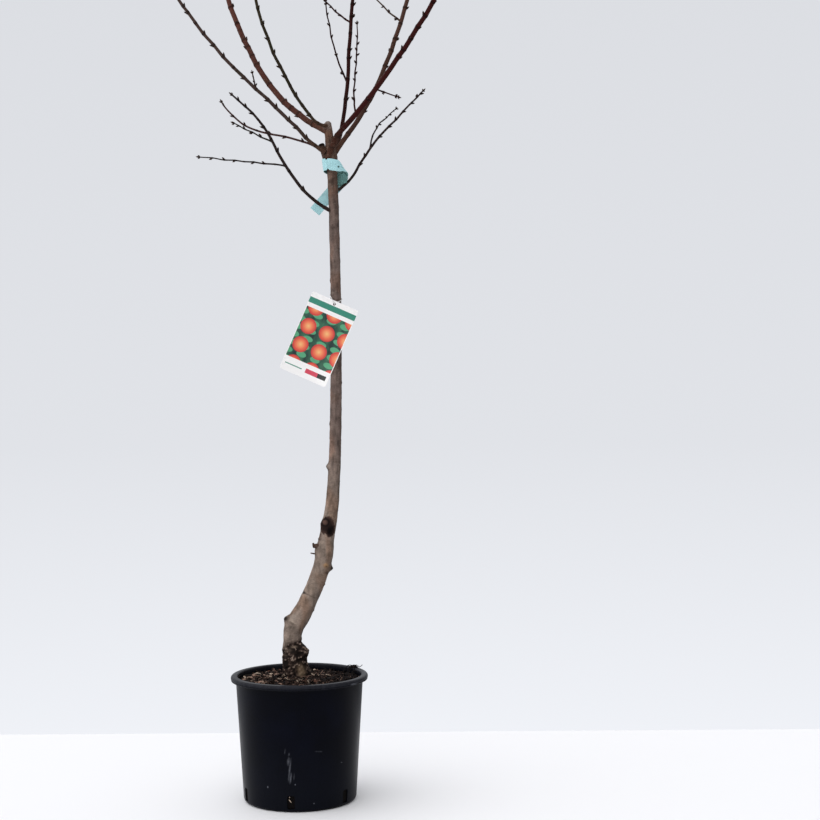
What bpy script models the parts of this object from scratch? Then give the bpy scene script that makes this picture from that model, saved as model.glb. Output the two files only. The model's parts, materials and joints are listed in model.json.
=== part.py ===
"""A young nectarine tree in winter, bare and budded, in a round nursery pot.

Metres, +Z up. The origin is the middle of the pot's flat underside. -Y is the side that
faces the viewer and +X is the viewer's right. Headings are degrees round +Z from +X, and a
lean is degrees from upright.
"""
import math
import random
from collections import namedtuple

import bmesh
import bpy
from mathutils import Matrix, Vector

# Clearance between pieces that rest on each other
GAP = 0.0003

# Pot: a tapered shell with a rolled lip and six drain slots round its foot
POT_HEIGHT = 0.220
POT_FOOT_RADIUS = 0.0995
POT_NECK_RADIUS = 0.112
POT_LIP_RADIUS = 0.121
POT_LIP_DROP = 0.009
POT_WALL = 0.0016
POT_FLOOR = 0.003
POT_CORNER = 0.007
POT_SIDES = 48
SLOT_COUNT = 6
SLOT_WIDTH = 0.013
SLOT_BOTTOM = 0.006
SLOT_TOP = 0.029
SLOT_HEADING = 265.0

# Potting mix: level with the inside of the pot, heaped a little round the trunk
MIX_EDGE_HEIGHT = 0.2085
MIX_HEAP_HEIGHT = 0.2137
MIX_HEAP_RADIUS = 0.036

# Trunk: height, place across, place in depth and radius, from the flat cut to the tip
TRUNK_FOOT = MIX_HEAP_HEIGHT + GAP
TRUNK_LINE = (
    (TRUNK_FOOT, -0.004, 0.000, 0.0250),
    (0.235, -0.007, 0.000, 0.0208),
    (0.252, -0.009, -0.001, 0.0192),
    (0.283, -0.012, -0.002, 0.0161),
    (0.305, -0.008, -0.002, 0.0174),
    (0.320, 0.001, -0.001, 0.0176),
    (0.340, 0.012, 0.000, 0.0159),
    (0.390, 0.034, 0.004, 0.0151),
    (0.432, 0.046, 0.006, 0.0150),
    (0.456, 0.049, 0.006, 0.0134),
    (0.500, 0.057, 0.005, 0.0122),
    (0.560, 0.063, 0.003, 0.0110),
    (0.700, 0.068, -0.002, 0.0102),
    (0.880, 0.069, -0.003, 0.0094),
    (1.030, 0.0665, 0.001, 0.0090),
    (1.110, 0.064, 0.002, 0.0091),
    (1.136, 0.062, 0.002, 0.0098),
    (1.153, 0.0605, 0.002, 0.0086),
    (1.174, 0.059, 0.001, 0.0071),
    (1.198, 0.0567, 0.000, 0.0056),
)
TRUNK_SIDES = 16
ROOT_FLARE_LOBES = 3
ROOT_FLARE_RISE = 0.08
ROOT_FLARE_FADE = 0.018

# Swellings, scars and creases on the trunk: height, heading, rise and spread
Bump = namedtuple("Bump", "height heading rise spread")
TRUNK_BUMPS = (
    Bump(0.262, 335, 0.0075, 0.010),
    Bump(0.240, 215, 0.0030, 0.010),
    Bump(0.316, 188, 0.0045, 0.005),
    Bump(0.361, 250, -0.0020, 0.006),
    Bump(0.409, 350, 0.0035, 0.006),
    Bump(0.483, 268, 0.0022, 0.014),
    Bump(0.483, 268, -0.0040, 0.007),
    Bump(0.586, 185, 0.0020, 0.005),
    Bump(1.133, 40, 0.0020, 0.010),
)

# Sawn-off stubs fused to the trunk: foot, heading, lean, length, foot and tip radius
Stub = namedtuple("Stub", "foot heading lean length base tip")
STUBS = (
    Stub((0.0560, 0.002, 1.124), 185, 19, 0.036, 0.0058, 0.0046),
    Stub((0.0400, 0.004, 0.430), 195, 62, 0.029, 0.0075, 0.0048),
)

# Limbs: each one is a single curve that its bough and the mass at its tip share. Its leans
# stand at the shares of its length in LEAN_SHARES, and it is a bough as far as `split`.
LEAN_SHARES = (0.0, 0.08, 0.25, 0.55, 1.0)
Limb = namedtuple("Limb", "foot heading turn leans length base tip split")
LIMBS = {
    "far_left": Limb((0.052, -0.003, 1.142), 204, 8, (64, 47, 53, 39, 20), 0.62, 0.0032, 0.0010, 0.34),
    "left": Limb((0.058, 0.000, 1.180), 152, -12, (68, 54, 33, 15, 4), 0.80, 0.0054, 0.0010, 0.36),
    "front_left": Limb((0.057, -0.001, 1.189), 232, 20, (100, 54, 42, 12, 4), 0.66, 0.0028, 0.0009, 0.36),
    "low_left": Limb((0.065, 0.000, 1.037), 206, -8, (70, 61, 44, 27, 56), 0.275, 0.0030, 0.0010, 0.30),
    "low_right": Limb((0.065, 0.001, 1.069), 26, 8, (55, 52, 30, 45, 46), 0.280, 0.0024, 0.0009, 0.36),
    "front_right": Limb((0.058, -0.003, 1.130), 314, 12, (16, 59, 50, 38, 20), 0.76, 0.0048, 0.0010, 0.12),
    "right": Limb((0.063, 0.003, 1.133), 30, 8, (35, 38, 24, 15, 8), 0.80, 0.0044, 0.0010, 0.32),
    "back": Limb((0.062, 0.003, 1.145), 72, -12, (72, 28, 7, 17, 14), 0.80, 0.0037, 0.0010, 0.18),
    "stub": Limb((0.050, 0.003, 1.138), 168, 12, (29, 56, 75, 77, 29), 0.220, 0.0019, 0.0009, 0.0),
}
LIMB_STEPS = 80
COLLAR_SWELL = 0.55
COLLAR_FADE = 0.009
RING_SPACING = 0.028
FOOT_CROWDING = 1.5
BOUGH_SIDES = 8
STEM_SIDES = 6
TWIG_SIDES = 3

# Side twigs in known places: share along the limb, heading, turn, leans, length and radii
Twig = namedtuple("Twig", "share heading turn leans length base tip")
KNOWN_TWIGS = {
    "low_left": (
        Twig(0.43, 186, 6, (77, 83, 87, 85, 86), 0.153, 0.0013, 0.0008),
        Twig(0.60, 165, 10, (65, 65, 64, 63, 62), 0.082, 0.0013, 0.0008),
    ),
    "low_right": (
        Twig(0.41, 62, 0, (6, 20, 41, 60, 59), 0.140, 0.0013, 0.0008),
    ),
    "front_right": (
        Twig(0.135, 200, 0, (22, 5, -4, -5, 1), 0.160, 0.0013, 0.0008),
        Twig(0.215, 20, 0, (109, 108, 106, 104, 103), 0.045, 0.0012, 0.0008),
    ),
    "right": (
        Twig(0.375, 150, 0, (53, 51, 48, 44, 42), 0.110, 0.0014, 0.0008),
    ),
    "back": (
        Twig(0.21, 165, 0, (31, 24, 17, 11, 3), 0.200, 0.0014, 0.0008),
        Twig(0.355, 150, 0, (60, 56, 49, 43, 40), 0.130, 0.0014, 0.0008),
    ),
}

# Seeded side twigs of the young wood high on the limbs
YOUNG_WOOD_HEIGHT = 1.435
CROWN_TOP = 1.885
TWIG_SPACING = 0.062
TWIG_SWING = 137.5
TWIG_SPREAD = 42.0
TWIG_LENGTH = 0.20
TWIG_BASE = 0.0013
TWIG_TIP = 0.0008
TWIG_STEPS = 10
TWIG_CLEARANCE = 0.007

# Hang tag: a card on a thin loop round the trunk
CARD_SIZE = (0.088, 0.0005, 0.147)
CARD_CENTRE = Vector((0.0395, -0.01455, 0.811))
CARD_TURN = 24.0
CARD_CORNER = 0.004
CARD_HOLE_RADIUS = 0.0025
CARD_HOLE_INSET = 0.006
LOOP_RADIUS = 0.0006

# Label band: a loose ribbon loop that rests on a low bough, with a tail behind the trunk
BAND_WIDTH = 0.021
BAND_THICKNESS = 0.0005
BAND_CENTRE = Vector((0.0690, -0.0010, 1.1145))
BAND_REACH = (0.0212, 0.0155)
BAND_DROP = 0.005
BAND_DROP_HEADING = 35.0
BAND_UP = Vector((-0.15, 0.0, 0.99))
BAND_SIDES = 40
TAIL_LINE = (
    Vector((0.0885, 0.0040, 1.1020)),
    Vector((0.0815, 0.0110, 1.0955)),
    Vector((0.0700, 0.0140, 1.0830)),
    Vector((0.0510, 0.0155, 1.0620)),
    Vector((0.0318, 0.0150, 1.0395)),
)
TAIL_UP = Vector((-0.75, 0.0, 0.66))


def clear_scene():
    """Remove every object that the file starts with."""
    for old in list(bpy.data.objects):
        bpy.data.objects.remove(old)


def material(name, colour, roughness, metallic=0.0):
    """A plain Principled material."""
    made = bpy.data.materials.new(name)
    made.use_nodes = True
    shader = made.node_tree.nodes["Principled BSDF"]
    shader.inputs["Base Color"].default_value = (*colour, 1.0)
    shader.inputs["Roughness"].default_value = roughness
    shader.inputs["Metallic"].default_value = metallic
    return made


def add_object(name, bm, finish=None, sharp=40.0):
    """Turn a bmesh into an object of the scene, shaded smooth except at sharp edges."""
    mesh = bpy.data.meshes.new(name)
    bm.to_mesh(mesh)
    bm.free()
    mesh.shade_smooth()
    mesh.set_sharp_from_angle(angle=math.radians(sharp))
    made = bpy.data.objects.new(name, mesh)
    if finish:
        mesh.materials.append(finish)
    bpy.context.scene.collection.objects.link(made)
    return made


def apply_modifiers(target):
    """Put the evaluated mesh in place of the modifiers."""
    graph = bpy.context.evaluated_depsgraph_get()
    mesh = bpy.data.meshes.new_from_object(target.evaluated_get(graph))
    target.modifiers.clear()
    old = target.data
    target.data = mesh
    bpy.data.meshes.remove(old)


def boolean(target, operation, others):
    """One Boolean with a collection of objects, which are then removed."""
    batch = bpy.data.collections.new("batch")
    bpy.context.scene.collection.children.link(batch)
    for other in others:
        bpy.context.scene.collection.objects.unlink(other)
        batch.objects.link(other)
        other.hide_render = True
        other.display_type = "WIRE"
    change = target.modifiers.new("change", "BOOLEAN")
    change.operation = operation
    change.operand_type = "COLLECTION"
    change.collection = batch
    change.solver = "EXACT"
    apply_modifiers(target)
    for other in list(batch.objects):
        bpy.data.objects.remove(other)
    bpy.data.collections.remove(batch)


def keep_largest(target):
    """Drop the loose scraps that a cut leaves."""
    bm = bmesh.new()
    bm.from_mesh(target.data)
    unseen = set(bm.verts)
    islands = []
    while unseen:
        island = {unseen.pop()}
        edge_of_island = list(island)
        while edge_of_island:
            for edge in edge_of_island.pop().link_edges:
                for vert in edge.verts:
                    if vert not in island:
                        island.add(vert)
                        edge_of_island.append(vert)
        unseen -= island
        islands.append(island)
    largest = max(islands, key=len)
    scraps = [vert for vert in bm.verts if vert not in largest]
    bmesh.ops.delete(bm, geom=scraps, context="VERTS")
    bmesh.ops.dissolve_degenerate(bm, dist=1e-6, edges=bm.edges)
    bm.to_mesh(target.data)
    bm.free()


def arc(centre, radius, start, end, steps):
    """Points on an arc in the profile plane, angles in degrees from the outward side."""
    points = []
    for step in range(steps + 1):
        angle = math.radians(start + (end - start) * step / steps)
        points.append((centre[0] + radius * math.cos(angle), centre[1] + radius * math.sin(angle)))
    return points


def spun(profile, sides):
    """A closed bmesh from a profile of (radius, height) that starts and ends on the axis."""
    bm = bmesh.new()
    verts = [bm.verts.new((radius, 0.0, height)) for radius, height in profile]
    for first, second in zip(verts, verts[1:]):
        bm.edges.new((first, second))
    bmesh.ops.spin(
        bm, geom=list(bm.verts) + list(bm.edges), cent=(0, 0, 0), axis=(0, 0, 1),
        angle=math.tau, steps=sides, use_merge=True,
    )
    bmesh.ops.remove_doubles(bm, verts=bm.verts, dist=1e-6)
    bmesh.ops.recalc_face_normals(bm, faces=bm.faces)
    return bm


def along(heading, lean):
    """The unit direction with this heading and lean, in degrees."""
    turn = math.radians(heading)
    tip = math.radians(lean)
    return Vector((math.sin(tip) * math.cos(turn), math.sin(tip) * math.sin(turn), math.cos(tip)))


def between(stations, values, where):
    """A value read from stations by straight steps."""
    for index in range(len(stations) - 1):
        if where <= stations[index + 1]:
            break
    reach = (where - stations[index]) / (stations[index + 1] - stations[index])
    return values[index] + (values[index + 1] - values[index]) * max(0.0, min(1.0, reach))


def grow(foot, shoot, steps):
    """The points of a limb or twig, from its foot, along its heading and leans."""
    points = [Vector(foot)]
    for step in range(steps):
        share = (step + 0.5) / steps
        lean = between(LEAN_SHARES, shoot.leans, share)
        heading = shoot.heading + shoot.turn * share
        points.append(points[-1] + along(heading, lean) * (shoot.length / steps))
    return points


def point_at(points, share):
    """The point at a share of a line of equal steps."""
    place = max(0.0, min(1.0, share)) * (len(points) - 1)
    index = min(int(place), len(points) - 2)
    return points[index].lerp(points[index + 1], place - index)


def heading_at(points, share):
    """The unit direction of a line at a share of its length."""
    ahead = point_at(points, min(share + 0.01, 1.0))
    behind = point_at(points, max(share - 0.01, 0.0))
    return (ahead - behind).normalized()


def limb_radius(limb, share):
    """A limb tapers towards its tip, and its foot swells into a collar."""
    taper = limb.tip + (limb.base - limb.tip) * (1.0 - share) ** 0.8
    collar = 1.0 + COLLAR_SWELL * math.exp(-share * limb.length / COLLAR_FADE)
    return taper * collar


def chords(points, closed):
    """The direction of a line at each of its points, from the points beside it."""
    count = len(points)
    directions = []
    for index, point in enumerate(points):
        before = points[index - 1] if index or closed else point
        after = points[(index + 1) % count] if index + 1 < count or closed else point
        directions.append((after - before).normalized())
    return directions


def tube(points, radii, sides, closed=False, directions=None):
    """A closed bmesh tube through the points, as rings that don't twist."""
    bm = bmesh.new()
    rings = []
    side = None
    for point, radius, forward in zip(points, radii, directions or chords(points, closed)):
        if side is None:
            side = forward.orthogonal()
        side = (side - forward * side.dot(forward)).normalized()
        other = forward.cross(side)
        ring = []
        for corner in range(sides):
            angle = math.tau * corner / sides
            reach = side * math.cos(angle) + other * math.sin(angle)
            ring.append(bm.verts.new(point + reach * radius))
        rings.append(ring)
    pairs = list(zip(rings, rings[1:]))
    if closed:
        pairs.append((rings[-1], rings[0]))
    else:
        bm.faces.new(list(reversed(rings[0])))
        bm.faces.new(rings[-1])
    for lower, upper in pairs:
        for corner in range(sides):
            after = (corner + 1) % sides
            bm.faces.new((lower[corner], lower[after], upper[after], upper[corner]))
    return bm


def make_pot(finish):
    """The pot: outer wall, hollow rolled lip, inner wall and floor, with its drain slots."""
    lip_bottom = POT_HEIGHT - POT_LIP_DROP
    lip_inner = POT_LIP_RADIUS - POT_WALL
    lip_under = POT_HEIGHT - 2 * POT_WALL
    inner_corner = POT_CORNER - POT_WALL
    profile = [(0.0, 0.0)]
    profile += arc((POT_FOOT_RADIUS - POT_CORNER, POT_CORNER), POT_CORNER, -90, 0, 4)
    profile += [(POT_NECK_RADIUS, lip_bottom), (POT_NECK_RADIUS, lip_under)]
    profile += [(lip_inner, lip_under), (lip_inner, lip_bottom), (POT_LIP_RADIUS, lip_bottom)]
    profile += arc((POT_LIP_RADIUS - 0.004, POT_HEIGHT - 0.004), 0.004, 0, 90, 4)
    profile += arc((POT_NECK_RADIUS, POT_HEIGHT - 0.003), 0.003, 90, 180, 3)
    profile += [(POT_NECK_RADIUS - POT_WALL, lip_bottom)]
    profile += arc(
        (POT_FOOT_RADIUS - POT_WALL - inner_corner, POT_FLOOR + inner_corner), inner_corner, 0, -90, 3,
    )
    profile += [(0.0, POT_FLOOR)]
    pot = add_object("pot", spun(profile, POT_SIDES), finish)
    cutters = []
    for number in range(SLOT_COUNT):
        bm = bmesh.new()
        bmesh.ops.create_cube(bm, size=1.0)
        bmesh.ops.scale(bm, verts=bm.verts, vec=(4 * POT_CORNER, SLOT_WIDTH, SLOT_TOP - SLOT_BOTTOM))
        upright = [edge for edge in bm.edges if abs((edge.verts[0].co - edge.verts[1].co).x) > POT_CORNER]
        bmesh.ops.bevel(
            bm, geom=upright, offset=0.003, offset_type="OFFSET", affect="EDGES", segments=3,
            profile=0.5, material=-1,
        )
        middle = (SLOT_TOP + SLOT_BOTTOM) / 2
        bmesh.ops.translate(bm, verts=bm.verts, vec=(POT_FOOT_RADIUS, 0, middle))
        heading = math.radians(SLOT_HEADING + 360.0 * number / SLOT_COUNT)
        bmesh.ops.rotate(bm, verts=bm.verts, cent=(0, 0, 0), matrix=Matrix.Rotation(heading, 3, "Z"))
        cutters.append(add_object("slot_cutter", bm))
    boolean(pot, "DIFFERENCE", cutters)
    return pot


def make_potting_mix(finish):
    """The potting mix that fills the pot, heaped round the trunk."""
    corner = POT_CORNER - POT_WALL
    foot = POT_FOOT_RADIUS - POT_WALL - GAP
    taper = (POT_NECK_RADIUS - POT_FOOT_RADIUS) / (POT_HEIGHT - POT_LIP_DROP - POT_CORNER)
    edge = foot + taper * (MIX_EDGE_HEIGHT - POT_FLOOR - corner) - 2 * GAP
    profile = [(0.0, POT_FLOOR + GAP)]
    profile += arc((foot - corner, POT_FLOOR + corner + GAP), corner, -90, 0, 3)
    profile += [(edge, MIX_EDGE_HEIGHT - 0.003), (edge - 0.004, MIX_EDGE_HEIGHT)]
    profile += [(0.075, MIX_EDGE_HEIGHT + 0.0008), (0.055, MIX_EDGE_HEIGHT + 0.0024)]
    profile += [(MIX_HEAP_RADIUS, MIX_HEAP_HEIGHT), (0.0, MIX_HEAP_HEIGHT)]
    return add_object("potting_mix", spun(profile, POT_SIDES), finish)


def trunk_station(height):
    """The trunk's middle and radius at a height, on a smooth curve through TRUNK_LINE."""
    rows = TRUNK_LINE
    index = 0
    while index < len(rows) - 2 and height > rows[index + 1][0]:
        index += 1
    before = rows[max(index - 1, 0)]
    here = rows[index]
    there = rows[index + 1]
    after = rows[min(index + 2, len(rows) - 1)]
    span = there[0] - here[0]
    t = (height - here[0]) / span
    values = []
    for column in (1, 2, 3):
        slope_here = (there[column] - before[column]) / (there[0] - before[0]) * span
        slope_there = (after[column] - here[column]) / (after[0] - here[0]) * span
        values.append(
            (2 * t**3 - 3 * t**2 + 1) * here[column] + (t**3 - 2 * t**2 + t) * slope_here
            + (3 * t**2 - 2 * t**3) * there[column] + (t**3 - t**2) * slope_there
        )
    return Vector((values[0], values[1], height)), values[2]


def trunk_swell(height, heading, radius):
    """How far the root flare and the bumps lift the bark at a height and heading."""
    lobes = math.cos(math.radians(heading * ROOT_FLARE_LOBES + 50))
    swell = radius * ROOT_FLARE_RISE * lobes * math.exp((TRUNK_FOOT - height) / ROOT_FLARE_FADE)
    for bump in TRUNK_BUMPS:
        around = math.radians((heading - bump.heading + 180) % 360 - 180) * radius
        away = (around**2 + (height - bump.height) ** 2) / bump.spread**2
        swell += bump.rise * math.exp(-away)
    return swell


def trunk_heights():
    """Ring heights: close together at the crooked foot and at the fork."""
    heights = [TRUNK_FOOT]
    while heights[-1] < TRUNK_LINE[-1][0] - 0.004:
        here = heights[-1]
        step = 0.011 if here < 0.51 else 0.030 if here < 1.05 else 0.008
        heights.append(min(here + step, TRUNK_LINE[-1][0]))
    return heights


def trunk_mesh(extra=0.0):
    """The trunk as rings square to its line, cut flat at the foot and rounded at the tip."""
    bm = bmesh.new()
    rings = []
    for height in trunk_heights():
        middle, radius = trunk_station(height)
        ahead, _ = trunk_station(min(height + 0.004, TRUNK_LINE[-1][0]))
        behind, _ = trunk_station(max(height - 0.004, TRUNK_FOOT))
        forward = (ahead - behind).normalized()
        level = min(1.0, (height - TRUNK_FOOT) / 0.03)
        forward = Vector((forward.x * level, forward.y * level, forward.z)).normalized()
        turned = Vector((0, 0, 1)).rotation_difference(forward).to_matrix()
        ring = []
        for corner in range(TRUNK_SIDES):
            heading = 360.0 * corner / TRUNK_SIDES
            reach = radius + trunk_swell(height, heading, radius) + extra
            ring.append(bm.verts.new(middle + turned @ (along(heading, 90) * reach)))
        rings.append(ring)
    for lower, upper in zip(rings, rings[1:]):
        for corner in range(TRUNK_SIDES):
            after = (corner + 1) % TRUNK_SIDES
            bm.faces.new((lower[corner], lower[after], upper[after], upper[corner]))
    bm.faces.new(list(reversed(rings[0])))
    cap = bm.faces.new(rings[-1])
    for inset, rise in ((0.0018, 0.0016), (0.0020, 0.0007)):
        bmesh.ops.inset_region(bm, faces=[cap], thickness=inset, use_even_offset=True)
        bmesh.ops.translate(bm, verts=cap.verts, vec=(0, 0, rise))
    return bm


def stub_mesh(stub, extra=0.0):
    """One sawn-off stub, with a domed end."""
    line = along(stub.heading, stub.lean)
    end = stub.length + extra
    shares = (0.0, 0.3, 0.6, 0.9, 1.0)
    points = [Vector(stub.foot) + line * end * share for share in shares]
    radii = [stub.base + (stub.tip - stub.base) * share + extra for share in shares]
    radii[-1] *= 0.8
    return tube(points, radii, 10)


def trunk_object(name, finish=None, extra=0.0):
    """The trunk with its stubs fused on, or that shape a little larger as a cutter."""
    trunk = add_object(name, trunk_mesh(extra), finish)
    boolean(trunk, "UNION", [add_object("stub_piece", stub_mesh(stub, extra)) for stub in STUBS])
    return trunk


def limb_piece(name, key, start, end, sides, finish=None, extra=0.0):
    """The stretch of a limb between two shares of its length, as one tapering tube."""
    limb = LIMBS[key]
    line = grow(limb.foot, limb, LIMB_STEPS)
    rings = max(5, round((end - start) * limb.length / RING_SPACING))
    crowding = 1.0 if start else FOOT_CROWDING
    shares = [start + (end - start) * (ring / rings) ** crowding for ring in range(rings + 1)]
    points = [point_at(line, share) for share in shares]
    radii = [limb_radius(limb, share) + extra for share in shares]
    directions = [heading_at(line, share) for share in shares]
    return add_object(name, tube(points, radii, sides, directions=directions), finish)


def clear_cutters(key):
    """Slightly larger copies of the trunk and of the limbs made before this one."""
    cutters = [trunk_object("trunk_cutter", extra=GAP)]
    for other in LIMBS:
        if other == key:
            break
        cutters.append(limb_piece("limb_cutter", other, 0.0, LIMBS[other].split, BOUGH_SIDES, extra=GAP))
    return cutters


def make_bough(key, finish):
    """One bough, from the bark of the trunk to where its mass of twigs starts."""
    bough = limb_piece("bough_" + key, key, 0.0, LIMBS[key].split, BOUGH_SIDES, finish)
    boolean(bough, "DIFFERENCE", clear_cutters(key))
    keep_largest(bough)
    return bough


def nearest(point, points):
    """How far a point is from the nearest of some points."""
    return min((point - other).length for other in points)


def twig_fits(key, twig, line, stems, grown):
    """Whether a twig stays under the crown's top, in its own limb's space and clear of the rest."""
    for index, point in enumerate(line):
        if point.z > CROWN_TOP:
            return False
        if index < 3:
            continue
        own = nearest(point, stems[key])
        if own < TWIG_CLEARANCE:
            return False
        if any(nearest(point, stem) < own for other, stem in stems.items() if other != key):
            return False
        if any(nearest(point, other) < TWIG_CLEARANCE + twig.base for other in grown):
            return False
    return True


def seeded_twigs(key, stems, grown):
    """Side twigs by a seeded rule: each swings round the limb, leaves it at an angle and turns up."""
    limb = LIMBS[key]
    stem = stems[key]
    rule = random.Random("twigs of " + key)
    swing = rule.uniform(0, 360)
    share = limb.split
    twigs = []
    while True:
        share += TWIG_SPACING / limb.length * rule.uniform(0.7, 1.3)
        swing += TWIG_SWING + rule.uniform(-20, 20)
        size = rule.uniform(0.55, 1.0)
        if share > 0.95:
            return twigs
        foot = point_at(stem, share)
        if foot.z < YOUNG_WOOD_HEIGHT:
            continue
        forward = heading_at(stem, share)
        outward = along(swing, 90)
        outward = (outward - forward * outward.dot(forward)).normalized()
        spread = math.radians(TWIG_SPREAD)
        leave = forward * math.cos(spread) + outward * math.sin(spread)
        lean = math.degrees(math.acos(max(-1.0, min(1.0, leave.z))))
        heading = math.degrees(math.atan2(leave.y, leave.x))
        length = TWIG_LENGTH * size * (1.15 - share)**0.6
        leans = [lean * ease for ease in (1.0, 0.95, 0.85, 0.7, 0.5)]
        twig = Twig(share, heading, 0, leans, length, TWIG_BASE, TWIG_TIP)
        line = grow(foot, twig, TWIG_STEPS)
        if twig_fits(key, twig, line, stems, grown):
            grown.append(line)
            twigs.append(twig)


def plan_twigs():
    """Every mass's side twigs, the known ones first, then the seeded ones."""
    stems = {key: grow(limb.foot, limb, LIMB_STEPS) for key, limb in LIMBS.items()}
    plan = {key: list(KNOWN_TWIGS.get(key, ())) for key in LIMBS}
    grown = []
    for key, twigs in plan.items():
        grown += [grow(point_at(stems[key], twig.share), twig, TWIG_STEPS) for twig in twigs]
    for key in LIMBS:
        plan[key] += seeded_twigs(key, stems, grown)
    return plan


def make_mass(key, twigs, finish):
    """One mass: the tip of its limb, with its side twigs fused on."""
    limb = LIMBS[key]
    start = limb.split + GAP / limb.length if limb.split else 0.0
    mass = limb_piece("twigs_" + key, key, start, 1.0, STEM_SIDES, finish)
    line = grow(limb.foot, limb, LIMB_STEPS)
    pieces = []
    for twig in twigs:
        steps = max(3, round(twig.length / 0.03))
        points = grow(point_at(line, twig.share), twig, steps)
        radii = [twig.base + (twig.tip - twig.base) * index / steps for index in range(steps + 1)]
        pieces.append(add_object("side_twig", tube(points, radii, TWIG_SIDES)))
    if pieces:
        boolean(mass, "UNION", pieces)
    if not limb.split:
        boolean(mass, "DIFFERENCE", clear_cutters(key))
    keep_largest(mass)
    return mass


def make_label_card(finish):
    """The hang tag's card, with round corners and a hole under its top edge."""
    bm = bmesh.new()
    bmesh.ops.create_cube(bm, size=1.0)
    bmesh.ops.scale(bm, verts=bm.verts, vec=CARD_SIZE)
    across = [edge for edge in bm.edges if abs((edge.verts[0].co - edge.verts[1].co).y) > 0]
    bmesh.ops.bevel(
        bm, geom=across, offset=CARD_CORNER, offset_type="OFFSET", affect="EDGES", segments=4,
        profile=0.5, material=-1,
    )
    card = add_object("label_card", bm, finish)
    bm = bmesh.new()
    bmesh.ops.create_cone(
        bm, cap_ends=True, segments=16, radius1=CARD_HOLE_RADIUS, radius2=CARD_HOLE_RADIUS, depth=0.01,
    )
    bmesh.ops.rotate(bm, verts=bm.verts, cent=(0, 0, 0), matrix=Matrix.Rotation(math.pi / 2, 3, "X"))
    bmesh.ops.translate(bm, verts=bm.verts, vec=(0, 0, CARD_SIZE[2] / 2 - CARD_HOLE_INSET))
    boolean(card, "DIFFERENCE", [add_object("hole_cutter", bm)])
    place = Matrix.Translation(CARD_CENTRE) @ Matrix.Rotation(math.radians(CARD_TURN), 4, "Y")
    card.data.transform(place)
    return card


def card_hole():
    """The middle of the card's hole."""
    up = Matrix.Rotation(math.radians(CARD_TURN), 3, "Y") @ Vector((0, 0, 1))
    return CARD_CENTRE + up * (CARD_SIZE[2] / 2 - CARD_HOLE_INSET)


def smooth_span(a, b, c, d, steps):
    """Points from b towards c on a smooth curve that also heeds a and d."""
    points = []
    for step in range(steps):
        t = step / steps
        bend = (2 * a - 5 * b + 4 * c - d) * t**2 + (3 * b - a - 3 * c + d) * t**3
        points.append(0.5 * (2 * b + (c - a) * t + bend))
    return points


def smooth_loop(points, steps):
    """A closed smooth curve through some points."""
    count = len(points)
    curve = []
    for index in range(count):
        after = points[(index + 1) % count]
        curve += smooth_span(points[index - 1], points[index], after, points[(index + 2) % count], steps)
    return curve


def smooth_line(points, steps):
    """An open smooth curve through some points."""
    last = len(points) - 1
    curve = []
    for index in range(last):
        before = points[max(index - 1, 0)]
        curve += smooth_span(before, points[index], points[index + 1], points[min(index + 2, last)], steps)
    return curve + [points[last]]


def make_label_loop(finish):
    """The thin loop that goes round the trunk and through the card's hole."""
    hole = card_hole()
    middle, radius = trunk_station(hole.z + 0.010)
    snug = radius + LOOP_RADIUS + 2 * GAP
    off_card = CARD_SIZE[1] / 2 + LOOP_RADIUS + 2 * GAP
    points = [
        hole + Vector((-0.0040, -off_card, 0.0085)),
        hole + Vector((-0.0012, -off_card, 0.0035)),
        hole + Vector((0.0000, -off_card * 0.8, 0.0000)),
        hole + Vector((0.0000, 0.0000, -0.0012)),
        hole + Vector((0.0000, off_card * 0.75, -0.0002)),
        hole + Vector((0.0014, off_card, 0.0022)),
    ]
    for heading in range(-72, 181, 36):
        rise = 0.018 - 0.0145 * ((180 - heading) / 252) ** 1.5
        level = Vector((middle.x, middle.y, hole.z + rise))
        points.append(level + along(heading, 90) * snug)
    points.append(Vector((middle.x - snug * 0.9, middle.y - snug * 0.7, hole.z + 0.0155)))
    curve = smooth_loop(points, 4)
    return add_object("label_loop", tube(curve, [LOOP_RADIUS] * len(curve), 6, closed=True), finish)


def ribbon(points, ups, outs, closed):
    """A closed bmesh strip of the band's width and thickness through the points."""
    bm = bmesh.new()
    rings = []
    for point, up, out in zip(points, ups, outs):
        half = up * (BAND_WIDTH / 2)
        skin = out * (BAND_THICKNESS / 2)
        corners = (half + skin, half - skin, -half - skin, -half + skin)
        rings.append([bm.verts.new(point + corner) for corner in corners])
    pairs = list(zip(rings, rings[1:]))
    if closed:
        pairs.append((rings[-1], rings[0]))
    else:
        bm.faces.new(rings[0])
        bm.faces.new(list(reversed(rings[-1])))
    for lower, upper in pairs:
        for corner in range(4):
            after = (corner + 1) % 4
            bm.faces.new((lower[corner], upper[corner], upper[after], lower[after]))
    bmesh.ops.recalc_face_normals(bm, faces=bm.faces)
    return bm


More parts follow.
